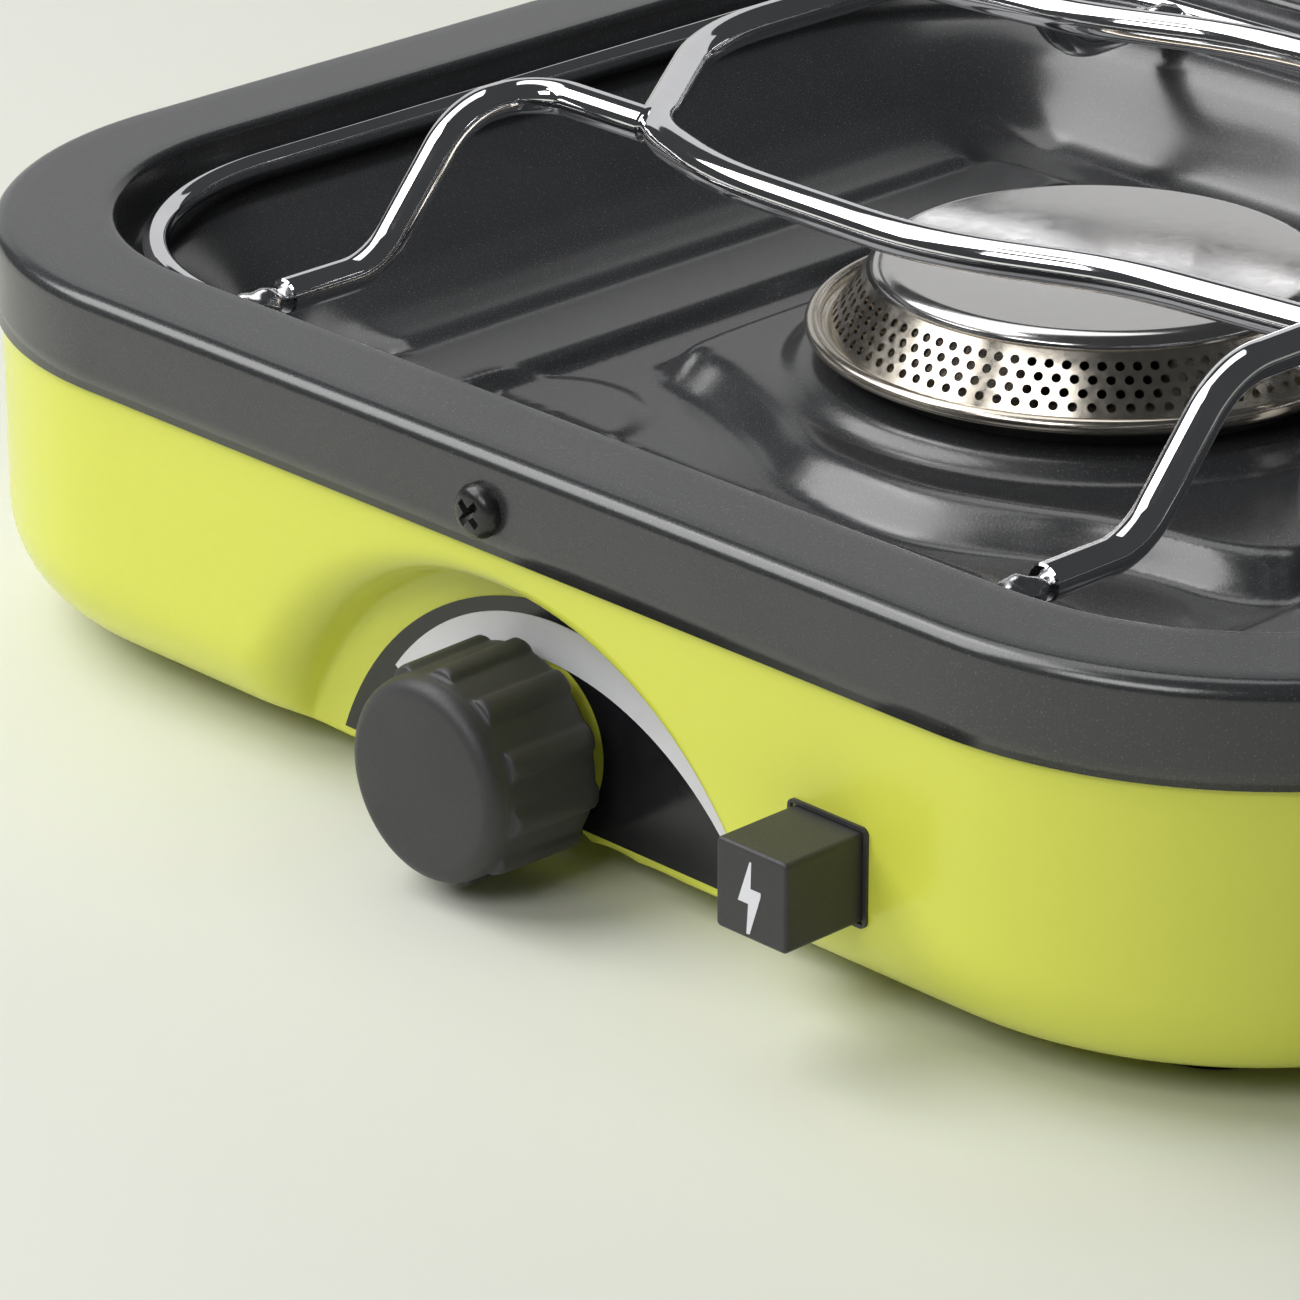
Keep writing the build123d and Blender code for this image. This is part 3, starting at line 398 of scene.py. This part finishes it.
# z below the rim against distance in from the well's edge
side_profile = rounded_profile(
    [(7.0, -9.4), (9.0, -10.0), (17.5, -14.6), (26.0, -19.4), (33.0, -22.0), (39.0, -23.0),
     (42.6, -23.4), (43.8, -24.6), (46.0, -27.0), (60.0, -27.0)], 1.1)
end_profile = rounded_profile(
    [(7.0, -9.4), (9.0, -10.0), (14.0, -14.0), (19.5, -22.0), (23.0, -25.6), (26.5, -27.0),
     (60.0, -27.0)], 1.3)


def soft_height(x, y):
    """The well's height averaged over a small reach, as pressing rounds every edge."""
    reach = 0.9
    shifts = [(0, 0), (reach, 0), (-reach, 0), (0, reach), (0, -reach)]
    return sum(well_height(x + u, y + v) for u, v in shifts) / len(shifts)


def well_height(x, y):
    """Height of the pressed well's surface."""
    dx, dy = WELL_X - np.abs(x), WELL_Y - np.abs(y)
    ax, ay = np.maximum(WELL_CORNER - dx, 1e-6), np.maximum(WELL_CORNER - dy, 1e-6)
    distance = WELL_CORNER - np.hypot(ax, ay)
    share = ax ** 2 / (ax ** 2 + ay ** 2)
    z = RIM_TOP + share * side_profile(distance) + (1 - share) * end_profile(distance)
    # long bands beside the platform
    inner = np.where(x < 0, 65.0, 72.0)
    band = smoothstep(0.0, 4.2, np.abs(x) - inner + 1.0) * smoothstep(85.6, 84.0, np.abs(x))
    band = band * smoothstep(74.0, 66.0, np.abs(y))
    z = np.maximum(z, FLOOR_Z + BAND_RISE * band)
    # wavy platform
    top = signed_inside(x, y, TOP_OUTLINE)
    foot = signed_inside(x, y, FOOT_OUTLINE)
    climb = np.where(top > 0, 1.0, np.where(foot < 0, 0.0, foot / (foot - top + 1e-9)))
    start, end = -0.12, 1.12
    offset = smoothstep(start, end, 0.0)
    rise = (smoothstep(start, end, climb) - offset) / (1 - 2 * offset)
    z = np.where(foot > 0, np.maximum(z, FLOOR_Z + PLATFORM_RISE * np.clip(rise, 0, 1)), z)
    # round terrace under the burner
    radius = np.hypot(x, y)
    z = z + TERRACE_RISE * smoothstep(48.0, 43.6, radius) * (foot > 0)
    # round pads pressed into the floor beside the pan legs
    pad = np.hypot(np.abs(x) - 54.0, np.abs(y) - 62.0)
    z = z + PAD_RISE * smoothstep(15.0, 14.0, pad) * (foot < 0)
    return z


def pressed_tray():
    """Skirt, rim and well as one sheet."""
    half_x, half_y = tray_high.x, tray_high.y
    sections = [(0.0, SKIRT_BOTTOM), (0.0, SKIRT_BOTTOM + 3), (0.0, RIM_TOP - RIM_ROUND - 3)]
    for k in range(9):
        angle = math.radians(90 * k / 8)
        sections.append((RIM_ROUND * (1 - math.cos(angle)),
                         RIM_TOP - RIM_ROUND * (1 - math.sin(angle))))
    sections += [(5.0, RIM_TOP), (10.0, RIM_TOP), (14.5, RIM_TOP)]
    edge = 1.4
    for k in range(7):
        angle = math.radians(90 * k / 6)
        sections.append((WELL_INSET - edge + edge * math.sin(angle),
                         RIM_TOP - edge * (1 - math.cos(angle))))
    sections += [(17.7, RIM_TOP - 4.0), (18.3, RIM_TOP - 6.6), (19.6, RIM_TOP - 8.2),
                 (21.6, RIM_TOP - 9.0)]
    loops = []
    for inset, z in sections:
        corner = SKIRT_CORNER - inset * (SKIRT_CORNER - WELL_CORNER) / WELL_INSET
        loops.append(rect_loop(half_x - inset, half_y - inset, corner, z, TRAY_SPANS))
    outer = np.array(loops[-1])
    throat = np.array([(THROAT * math.cos(2 * math.pi * i / TRAY_SPANS),
                        THROAT * math.sin(2 * math.pi * i / TRAY_SPANS), 0)
                       for i in range(TRAY_SPANS)])
    rings = 118
    for k in range(1, rings + 1):
        # slightly finer near the walls
        share = (k / rings) ** 1.06
        loop = outer * (1 - share) + throat * share
        x, y = loop[:, 0], loop[:, 1]
        z = soft_height(x, y)
        loops.append(list(zip(x, y, z)))
    points = [p for loop in loops for p in loop]
    tray = mesh_object("pressed_tray", points, skin(loops))
    weld(tray)
    thicken(tray, SHEET)
    dress(tray, tray_enamel, "root", "black_enamel", "top_tray")


# ---- body shell ----------------------------------------------------------------------
def shell_levels():
    """Heights and insets up the side: the bottom's rounding, then the straight wall."""
    levels = []
    for k in range(13):
        angle = math.radians(90 * (1 - k / 12))
        levels.append((BASE + BOTTOM_ROUND * (1 - math.sin(angle)),
                       BOTTOM_ROUND * (1 - math.cos(angle))))
    straight = BASE + BOTTOM_ROUND
    top = RIM_TOP - SHEET - 0.5
    levels += [(straight + (top - straight) * k / 16, 0.0) for k in range(1, 17)]
    return levels


def wall_inset(z):
    """How far the wall stands in at a height."""
    if z >= BASE + BOTTOM_ROUND:
        return 0.0
    rest = BASE + BOTTOM_ROUND - z
    return BOTTOM_ROUND - math.sqrt(max(BOTTOM_ROUND ** 2 - rest ** 2, 0.0))


def bezier2(a, b, c, t):
    return tuple((1 - t) ** 2 * p + 2 * t * (1 - t) * q + t * t * r for p, q, r in zip(a, b, c))


def recess_profile(lip):
    """(radius, share of the full depth) from the panel out to the wall, for a lip rounding."""
    foot = 1.4
    wall = math.hypot(RECESS_FLARE, PANEL_DEPTH)
    panel, head = (RECESS_RADIUS, 1.0), (RECESS_RADIUS + RECESS_FLARE, 0.0)

    def on_wall(distance):
        share = distance / wall
        return (panel[0] + RECESS_FLARE * share, 1.0 - share)

    rows = [bezier2((RECESS_RADIUS - foot, 1.0), panel, on_wall(foot), k / 5) for k in range(6)]
    rows += [bezier2(on_wall(wall - lip), head, (head[0] + lip, 0.0), k / 12) for k in range(13)]
    return rows


def front_patch(levels):
    """The flat stretch of the front wall, its mesh fitted to the recess's arch."""
    half = BODY_X - BODY_CORNER
    side = [(-half, z) for z, _ in levels]
    across = 56
    top_z = levels[-1][0]
    border = side + [(-half + 2 * half * k / across, top_z) for k in range(1, across)]
    border += [(half, z) for z, _ in reversed(levels)]
    count = len(border)
    sharp, soft = recess_profile(2.2), recess_profile(7.0)
    rise = BASE - RECESS_Z

    def ring(row):
        """Points round the arch, where row gives a radius and depth share for an angle."""
        left = math.pi - math.asin(rise / row(math.pi)[0])
        right = math.asin(rise / row(0.0)[0])
        points = []
        for i in range(count):
            t = i / (count - 1)
            t = t * t * (3 - 2 * t)
            angle = left + (right - left) * t
            radius, share = row(angle)
            x = RECESS_X + radius * math.cos(angle)
            z = BASE if i in (0, count - 1) else RECESS_Z + radius * math.sin(angle)
            points.append((x, z, share))
        return points

    def between(k):
        def row(angle):
            soften = float(smoothstep(0.42 * math.pi, 0.80 * math.pi, angle))
            return tuple(a + (b - a) * soften for a, b in zip(sharp[k], soft[k]))
        return row

    rings = [ring(lambda angle, r=r: (r, 1.0)) for r in (15.02, 18, 24, 31, 38, 45, 49)]
    rings += [ring(between(k)) for k in range(len(sharp))]
    outer = rings[-1]
    steps = 14
    for k in range(1, steps + 1):
        s = k / steps
        rings.append([(a[0] + (b[0] - a[0]) * s, a[1] + (b[1] - a[1]) * s, 0.0)
                      for a, b in zip(outer, border)])
    loops = []
    for one in rings:
        loop = []
        for x, z, share in one:
            wall = wall_inset(z)
            depth = max(PANEL_DEPTH - wall, 0.0)
            loop.append((x, -BODY_Y + wall + depth * share, z))
        loops.append(loop)
    return loops


def shell_around(levels):
    """Rounded outlines from the front's right end round the back to its left end."""
    loops = []
    for z, inset in levels:
        half_x, half_y, corner = BODY_X - inset, BODY_Y - inset, BODY_CORNER - inset
        flat_x, flat_y = BODY_X - BODY_CORNER, BODY_Y - BODY_CORNER
        loop = [(flat_x, -half_y, z)]
        for start, cx, cy in ((-90, flat_x, -flat_y), (0, flat_x, flat_y), (90, -flat_x, flat_y),
                              (180, -flat_x, -flat_y)):
            for k in range(0 if start > -90 else 1, 33):
                angle = math.radians(start + 90 * k / 32)
                loop.append((cx + corner * math.cos(angle), cy + corner * math.sin(angle), z))
        loops.append(loop)
    return loops


def body_wall():
    """The painted shell's wall with its scooped control recess."""
    levels = shell_levels()
    front, around = front_patch(levels), shell_around(levels)
    points = [p for loop in front for p in loop]
    faces = skin(front, closed=False)
    faces += skin(around, closed=False, offset=len(points))
    points += [p for loop in around for p in loop]
    wall = mesh_object("shell_wall", points, faces)
    weld(wall, 0.002)
    return wall


def curve_plate(name, outlines, z, thickness):
    """A flat plate from a closed outline followed by the outlines of its holes."""
    curve = bpy.data.curves.new(name, "CURVE")
    curve.dimensions = "2D"
    curve.fill_mode = "BOTH"
    curve.extrude = thickness / 2 * MM
    for outline in outlines:
        spline = curve.splines.new("POLY")
        spline.points.add(len(outline) - 1)
        for point, (x, y) in zip(spline.points, outline):
            point.co = (x * MM, y * MM, 0, 1)
        spline.use_cyclic_u = True
    shape = bpy.data.objects.new(name + "_outline", curve)
    bpy.context.scene.collection.objects.link(shape)
    graph = bpy.context.evaluated_depsgraph_get()
    mesh = bpy.data.meshes.new_from_object(shape.evaluated_get(graph))
    bpy.data.objects.remove(shape)
    mesh.transform(Matrix.Translation((0, 0, z * MM)))
    plate = bpy.data.objects.new(name, mesh)
    bpy.context.scene.collection.objects.link(plate)
    return plate


def circle_points(cx, cy, radius, count=48):
    return [(cx + radius * math.cos(2 * math.pi * k / count),
             cy + radius * math.sin(2 * math.pi * k / count)) for k in range(count)]


def slot_points(cx, cy, length, width):
    half, radius = (length - width) / 2, width / 2
    points = []
    for start, x in ((-90, cx + half), (90, cx - half)):
        for k in range(13):
            angle = math.radians(start + 15 * k)
            points.append((x + radius * math.cos(angle), cy + radius * math.sin(angle)))
    return points


def body_shell():
    """Painted pan: wall and slotted bottom."""
    wall = body_wall()
    thicken(wall, 1.0)
    inset = BOTTOM_ROUND
    outline = [(x, y) for x, y, _ in rect_loop(BODY_X - inset, BODY_Y - inset,
                                               BODY_CORNER - inset, 0, 240)]
    screws = [circle_points(x, y, 2.2) for x in (-104, 104) for y in (-90, 90)]
    slots = [slot_points(0, 14 * k, 60, 5) for k in range(-2, 3)]
    floor = curve_plate("shell_bottom", [outline] + screws + slots, BASE + 0.5, 1.0)
    shade_by_angle(floor)
    dress(wall, lime_paint, "root", "lime_paint", "body_shell")
    dress(floor, lime_paint, "root", "lime_paint")


# ---- control knob --------------------------------------------------------------------
KNOB_RADIUS = 15.0
KNOB_RIBS = 11
RIB_HEIGHT = 1.25


def control_knob():
    """Soft-edged knob with rounded grip ribs that stop short of its face."""
    front, back = knob_low.y, knob_high.y
    centre_z = (knob_low.z + knob_high.z) / 2
    rib_end = front + 4.2
    spans = KNOB_RIBS * 26

    def loop(y, radius, ribs):
        points = []
        for i in range(spans):
            angle = 2 * math.pi * i / spans
            phase = (angle * KNOB_RIBS / (2 * math.pi)) % 1.0
            off = abs(phase - 0.5) * 2 * math.pi * radius / KNOB_RIBS
            crest = math.sqrt(max(1 - (off / 2.0) ** 2, 0.0)) if off < 2.0 else 0.0
            flare = math.exp(-max(off - 1.5, 0.0) ** 2 / 0.5) * 0.35
            reach = radius + ribs * RIB_HEIGHT * max(crest * 0.9, flare * 0.55 + crest * 0.5)
            turn = angle + math.radians(6)
            points.append((reach * math.cos(turn), y, centre_z + reach * math.sin(turn)))
        return points

    rows = [(back - 13.0, KNOB_RADIUS - 2.2, 0.0), (back - 0.6, KNOB_RADIUS - 1.8, 0.0),
            (back, KNOB_RADIUS - 1.4, 0.0), (back, KNOB_RADIUS - 0.5, 0.5),
            (back - 0.15, KNOB_RADIUS + 0.1, 0.9), (back - 0.6, KNOB_RADIUS + 0.28, 1.0)]
    for k in range(1, 11):
        share = k / 10
        rows.append((back - 0.6 + (rib_end + 1.2 - back + 0.6) * share,
                     KNOB_RADIUS + 0.28 - 0.25 * share, 1.0))
    for k in range(1, 7):
        angle = math.radians(90 * k / 6)
        rows.append((rib_end + 1.2 - 1.2 * math.sin(angle), KNOB_RADIUS + 0.03,
                     math.cos(angle) ** 0.6 if k < 6 else 0.0))
    rows += [(rib_end - 1.0, KNOB_RADIUS, 0.0), (front + 3.0, KNOB_RADIUS - 0.05, 0.0)]
    edge = 2.6
    for k in range(0, 10):
        angle = math.radians(90 * k / 9)
        rows.append((front + 0.25 + edge * (1 - math.sin(angle)),
                     KNOB_RADIUS - 0.1 - edge * (1 - math.cos(angle)), 0.0))
    for share in (0.8, 0.6, 0.4, 0.2, 0.0):
        rows.append((front + 0.25 * share ** 2, (KNOB_RADIUS - 0.1 - edge) * share, 0.0))
    loops = [loop(*row) for row in rows]
    knob = mesh_object("knob_grip", [p for one in loops for p in one], skin(loops))
    weld(knob)
    dress(knob, knob_plastic, "knob", "black_plastic", "control_knob")


# ---- burner --------------------------------------------------------------------------
BAND_ROWS = 4
BAND_PORTS = 88
PORT_RADIUS = 0.72


def perforated_band():
    """Cone of steel with staggered rows of round ports."""
    foot_r, head_r = band_high.x, band_high.x - 5.8
    foot_z, head_z = band_low.z, band_high.z
    slope = math.hypot(foot_r - head_r, head_z - foot_z)
    row_height = 2.05
    margin = (slope - BAND_ROWS * row_height) / 2
    points, faces = [], []

    def place(along, turn):
        """A point a distance up the slope, at a turn counted in ports."""
        share = along / slope
        radius = foot_r + (head_r - foot_r) * share
        angle = 2 * math.pi * turn / BAND_PORTS
        points.append((radius * math.cos(angle), radius * math.sin(angle),
                       foot_z + (head_z - foot_z) * share))
        return len(points) - 1

    def radius_at(along):
        return foot_r + (head_r - foot_r) * along / slope

    for row in range(BAND_ROWS):
        low = margin + row * row_height
        middle, high = low + row_height / 2, low + row_height
        shift = 0.5 * (row % 2)
        pitch = 2 * math.pi * radius_at(middle) / BAND_PORTS
        for port in range(BAND_PORTS):
            turn = port + shift
            border = [(middle, 0.5), (high, 0.5), (high, 0.0), (high, -0.5), (middle, -0.5),
                      (low, -0.5), (low, 0.0), (low, 0.5)]
            outer = [place(along, turn + part) for along, part in border]
            hole = []
            for k in range(16):
                angle = math.radians(22.5 * k)
                hole.append(place(middle + PORT_RADIUS * math.sin(angle),
                                  turn + PORT_RADIUS * math.cos(angle) / pitch))
            for k in range(8):
                a, b = outer[k], outer[(k + 1) % 8]
                h0, h1, h2 = hole[2 * k], hole[2 * k + 1], hole[(2 * k + 2) % 16]
                faces.append((a, b, h1, h0))
                faces.append((b, h2, h1))
    for low, high in ((0.0, margin), (margin + BAND_ROWS * row_height, slope)):
        for half in range(2 * BAND_PORTS):
            faces.append((place(low, half / 2), place(low, half / 2 + 0.5),
                          place(high, half / 2 + 0.5), place(high, half / 2)))
    band = mesh_object("burner_band", points, faces)
    weld(band, 0.01)
    thicken(band, 0.6)
    shade_by_angle(band, 50)
    dress(band, band_steel, "root", "stainless", "burner_ring")


def burner_top():
    """Smooth flat cap with a rounded shoulder, and the dish's rolled rim."""
    top, radius = cap_high.z, cap_high.x
    foot = cap_low.z
    roll, bend = 3.0, radius - 3.3
    profile = [(0.02, top), (radius * 0.5, top)]
    profile += arc(bend, top - roll, roll, 90, 34, 14)
    profile += [(radius - 0.12, foot - 0.05), (radius - 1.0, foot), (radius - 2.6, foot),
                (radius - 2.6, foot + 0.8), (0.02, foot + 0.8)]
    cap = turned("cap_plate", profile)
    dress(cap, cap_steel, "root", "stainless", "burner_cap")
    lip = 1.25
    edge_r, edge_z = dish_high.x - lip, dish_high.z - lip
    profile = [(14.0, dish_low.z + 0.3), (40.0, dish_low.z + 0.3)]
    profile += arc(edge_r, edge_z, lip, -110, 190, 22)
    profile += [(40.6, edge_z - 0.1), (14.0, edge_z - 0.1)]
    dish = turned("dish_plate", profile, closed_profile=True)
    dress(dish, band_steel, "root", "stainless", "burner_dish")


# ---- rim screws ----------------------------------------------------------------------
def cross_outline(long, short, z):
    """A plus sign of four equal arms."""
    a, b = long / 2, short / 2
    corners = [(a, b), (b, b), (b, a), (-b, a), (-b, b), (-a, b), (-a, -b), (-b, -b),
               (-b, -a), (b, -a), (b, -b), (a, -b)]
    return [(x, y, z) for x, y in corners]


def rim_screw_heads():
    """Black pan heads with tapered cross recesses, one in the middle of each side."""
    radius, height = 3.9, 2.6
    profile = [(0.02, height), (1.6, height - 0.03)]
    profile += arc(radius - 1.9, height - 2.1, 1.98, 78, 8, 8)
    profile += [(radius, 0.35), (radius, 0.0), (2.0, 0.0), (2.0, -6.0), (0.02, -6.0)]
    head = turned("screw_head", profile, count=64)
    loops = [cross_outline(5.0, 1.35, height + 0.4), cross_outline(4.3, 1.15, height - 0.4),
             cross_outline(1.6, 0.7, height - 1.8)]
    points = [p for one in loops for p in one]
    count = len(loops[0])
    faces = skin(loops) + [tuple(range(count - 1, -1, -1)), tuple(range(2 * count, 3 * count))]
    cutter = mesh_object("cross_cutter", points, faces, smooth=False)
    weld(cutter)
    weld(head)
    cut = head.modifiers.new("cross", "BOOLEAN")
    cut.object = cutter
    cut.operation = "DIFFERENCE"
    cut.solver = "EXACT"
    apply_modifiers(head)
    bpy.data.objects.remove(cutter)
    shade_by_angle(head, 32)
    screw_z = SKIRT_BOTTOM + 6.0
    places = [((0, -tray_high.y), -90), ((0, tray_high.y), 90), ((-tray_high.x, 0), 180),
              ((tray_high.x, 0), 0)]
    for number, ((x, y), turn) in enumerate(places, 1):
        screw = bpy.data.objects.new(f"rim_screw_{number}", head.data.copy())
        bpy.context.scene.collection.objects.link(screw)
        tilt = (Matrix.Rotation(math.radians(turn), 4, "Z")
                @ Matrix.Rotation(math.radians(90), 4, "Y"))
        spin = Matrix.Rotation(math.radians(17 + 31 * number), 4, "Z")
        screw.data.transform(Matrix.Translation((x * MM, y * MM, screw_z * MM)) @ tilt @ spin)
        dress(screw, screw_black, "root", "black_steel", "rim_screws")
    bpy.data.objects.remove(head)


# ---- spark button's mark -------------------------------------------------------------
def button_mark():
    """White lightning flash printed on the button's face."""
    centre_x, centre_z = (button_low.x + button_high.x) / 2, (button_low.z + button_high.z) / 2
    outline = [(-0.2, 4.8), (-2.3, -1.3), (-0.4, -1.3), (-0.7, -5.7), (-0.1, -5.6), (1.85, 0.35),
               (1.85, 0.95), (0.0, 0.95), (0.1, 4.75)]
    y = button_low.y
    points = [(centre_x + u, y - d, centre_z + v) for d in (0.06, -0.1) for u, v in outline]
    count = len(outline)
    loops = [points[:count], points[count:]]
    faces = skin(loops) + [tuple(range(count)), tuple(range(2 * count - 1, count - 1, -1))]
    mark = mesh_object("flash_mark", points, faces, smooth=False)
    weld(mark)
    dress(mark, white_print, "button", "white_print")


# ---- wires of the pan support --------------------------------------------------------
LONG_WIRE = [(LEG_X, -LEG_FOOT, RING_Z), (LEG_X, -76.5, RING_Z), (LEG_X, -59, FINGER_TOP),
             (LEG_X, 8, FINGER_TOP), (50, 44.5, FINGER_TOP), (28, 52, FINGER_TOP),
             (-14, 52.6, FINGER_TOP), (-42, 41, FINGER_TOP), (-73.2, 37.8, FINGER_TOP)]
LONG_RADII = [13, 14, 40, 25, 60, 60, 60]
SHORT_WIRE = [(-LEG_X, -LEG_FOOT, RING_Z), (-LEG_X, -76.5, RING_Z), (-LEG_X, -59, FINGER_TOP),
              (-LEG_X, -43.3, FINGER_TOP), (-51.6, -43.3, FINGER_TOP)]
SHORT_RADII = [13, 14, 8]


def filleted(points, radii):
    """A path of straight runs and tangent arcs through corner points."""
    corners = [Vector(p) for p in points]
    path = [corners[0]]
    for before, corner, after, radius in zip(corners, corners[1:], corners[2:], radii):
        way_in, way_out = (before - corner).normalized(), (after - corner).normalized()
        half = way_in.angle(way_out) / 2
        centre = corner + (way_in + way_out).normalized() * (radius / math.sin(half))
        reach = radius / math.tan(half)
        start, end = corner + way_in * reach - centre, corner + way_out * reach - centre
        sweep = start.angle(end)
        steps = max(4, round(math.degrees(sweep) / 4))
        for k in range(steps + 1):
            share = k / steps
            spoke = (start * math.sin((1 - share) * sweep) + end * math.sin(share * sweep))
            path.append(centre + spoke / math.sin(sweep))
    return path + [corners[-1]]


def wire_tube(name, path, radius, closed=False, sides=28):
    """A round wire along a path, its cut ends slightly bevelled."""
    rows = [(point, radius) for point in path]
    if not closed:
        first, last = (path[1] - path[0]).normalized(), (path[-1] - path[-2]).normalized()
        rows = ([(path[0], 0.02), (path[0], radius - 0.3), (path[0] + first * 0.3, radius)]
                + rows[1:-1]
                + [(path[-1] - last * 0.3, radius), (path[-1], radius - 0.3), (path[-1], 0.02)])
    count = len(rows)

    def run(k):
        """The path's step that leads to its point k, held at both ends."""
        k = min(max(k, 1), len(path) - 1)
        return path[k] - path[k - 1]

    points, across = [], Vector((0, 0, 1))
    for k, (middle, reach) in enumerate(rows):
        if closed:
            along = rows[(k + 1) % count][0] - rows[k - 1][0]
        else:
            along = run(k - 1).normalized() + run(k).normalized()
        along.normalize()
        across = (across - along * across.dot(along)).normalized()
        third = along.cross(across)
        for i in range(sides):
            angle = 2 * math.pi * i / sides
            points.append(middle + (across * math.cos(angle) + third * math.sin(angle)) * reach)
    loops = [points[k * sides:(k + 1) * sides] for k in range(count)]
    faces = skin(loops)
    if closed:
        seam = (count - 1) * sides
        faces += [(seam + i, seam + (i + 1) % sides, (i + 1) % sides, i) for i in range(sides)]
    wire = mesh_object(name, points, faces)
    weld(wire)
    shade_by_angle(wire, 40)
    return wire


def pan_wires():
    """The ring and the four bent wires."""
    outline = [Vector(p) for p in rect_loop(RING_X, RING_Y, RING_CORNER, RING_Z, 360)]
    ring = wire_tube("support_ring", outline, RING_WIRE, closed=True, sides=24)
    dress(ring, chrome, "pan_support", "chrome_wire", "pan_ring")
    for name, points, radii, sign in (("right", LONG_WIRE, LONG_RADII, 1),
                                      ("left", LONG_WIRE, LONG_RADII, -1),
                                      ("front", SHORT_WIRE, SHORT_RADII, 1),
                                      ("back", SHORT_WIRE, SHORT_RADII, -1)):
        path = filleted([(sign * x, sign * y, z) for x, y, z in points], radii)
        wire = wire_tube(f"wire_{name}", path, FINGER_WIRE)
        dress(wire, chrome, "pan_support", "chrome_wire", f"pan_finger_{name}")


def weld_nuggets():
    """Lumpy welds between each leg's cut end and the ring."""
    for number, (sx, sy) in enumerate(((1, -1), (-1, -1), (-1, 1), (1, 1)), 1):
        bm = bmesh.new()
        bmesh.ops.create_icosphere(bm, subdivisions=4, radius=1.0)
        middle = (LEG_FOOT + RING_Y) / 2
        for vert in bm.verts:
            x, y, z = vert.co
            lump = (0.14 * math.sin(5 * y + 2.1 * number) * math.cos(3 * x + number)
                    + 0.05 * math.sin(9 * y + 7 * z))
            swell = 1 + lump
            vert.co = Vector(((sx * LEG_X + 2.55 * x * swell) * MM,
                              (sy * (middle + 0.2) + 5.1 * y * swell) * MM,
                              (RING_Z - 0.1 + 2.3 * z * swell) * MM))
        mesh = bpy.data.meshes.new(f"weld_{number}")
        bm.to_mesh(mesh)
        bm.free()
        for polygon in mesh.polygons:
            polygon.use_smooth = True
        nugget = bpy.data.objects.new(f"weld_{number}", mesh)
        bpy.context.scene.collection.objects.link(nugget)
        dress(nugget, weld_metal, "pan_support", "chrome_wire")


# ---- floor, light and camera ---------------------------------------------------------
def studio():
    """Pale floor and soft boxes."""
    size = 3000.0
    floor = mesh_object("floor", [(-size, -size, 0), (size, -size, 0), (size, size, 0),
                                  (-size, size, 0)], [(0, 1, 2, 3)])
    paint = surface("floor_paint", (0.74, 0.75, 0.68), (0.76, 0.77, 0.70), (0.55, 0.65),
                    mottle=2, grain=300)
    floor.data.materials.append(paint)

    def soft_box(name, way, distance, width, height, glow):
        """A rectangular light in a direction from the stove; glow is its brightness."""
        light = bpy.data.lights.new(name, "AREA")
        light.shape = "RECTANGLE"
        light.size, light.size_y = width, height
        light.energy = glow * math.pi * width * height
        lamp = bpy.data.objects.new(name, light)
        lamp.location = Vector(way).normalized() * distance
        lamp.rotation_euler = (-lamp.location).to_track_quat("-Z", "Y").to_euler()
        bpy.context.scene.collection.objects.link(lamp)

    soft_box("backdrop", (-0.66, 0.64, 0.26), 2.4, 3.4, 1.3, 0.60)
    soft_box("top_box", (-0.42, 0.10, 1.0), 1.6, 1.2, 0.9, 1.7)
    soft_box("left_box", (-0.52, -0.42, 0.72), 1.7, 1.4, 1.2, 4.5)
    soft_box("front_box", (0.16, -0.78, 0.62), 1.8, 0.9, 0.6, 5.6)

    world = bpy.data.worlds.new("studio_air")
    world.use_nodes = True
    air = world.node_tree.nodes["Background"]
    air.inputs["Color"].default_value = (0.84, 0.87, 0.90, 1)
    air.inputs["Strength"].default_value = 0.06
    bpy.context.scene.world = world
    bpy.context.scene.view_settings.view_transform = "Standard"


def camera():
    """Long lens, a little above the front right corner."""
    back = Vector((0.6597, -0.6388, 0.3959)).normalized()
    target = Vector((63.5, -154.5, 64.0)) * MM
    data = bpy.data.cameras.new("camera")
    data.lens = 175.5
    data.sensor_width = 36.0
    data.shift_y = -0.0038
    viewer = bpy.data.objects.new("camera", data)
    viewer.location = target + back * 0.8
    viewer.rotation_euler = (-back).to_track_quat("-Z", "Y").to_euler()
    bpy.context.scene.collection.objects.link(viewer)
    bpy.context.scene.camera = viewer


dress_cad_nodes()
pressed_tray()
body_shell()
control_knob()
perforated_band()
burner_top()
rim_screw_heads()
button_mark()
pan_wires()
weld_nuggets()
studio()
camera()
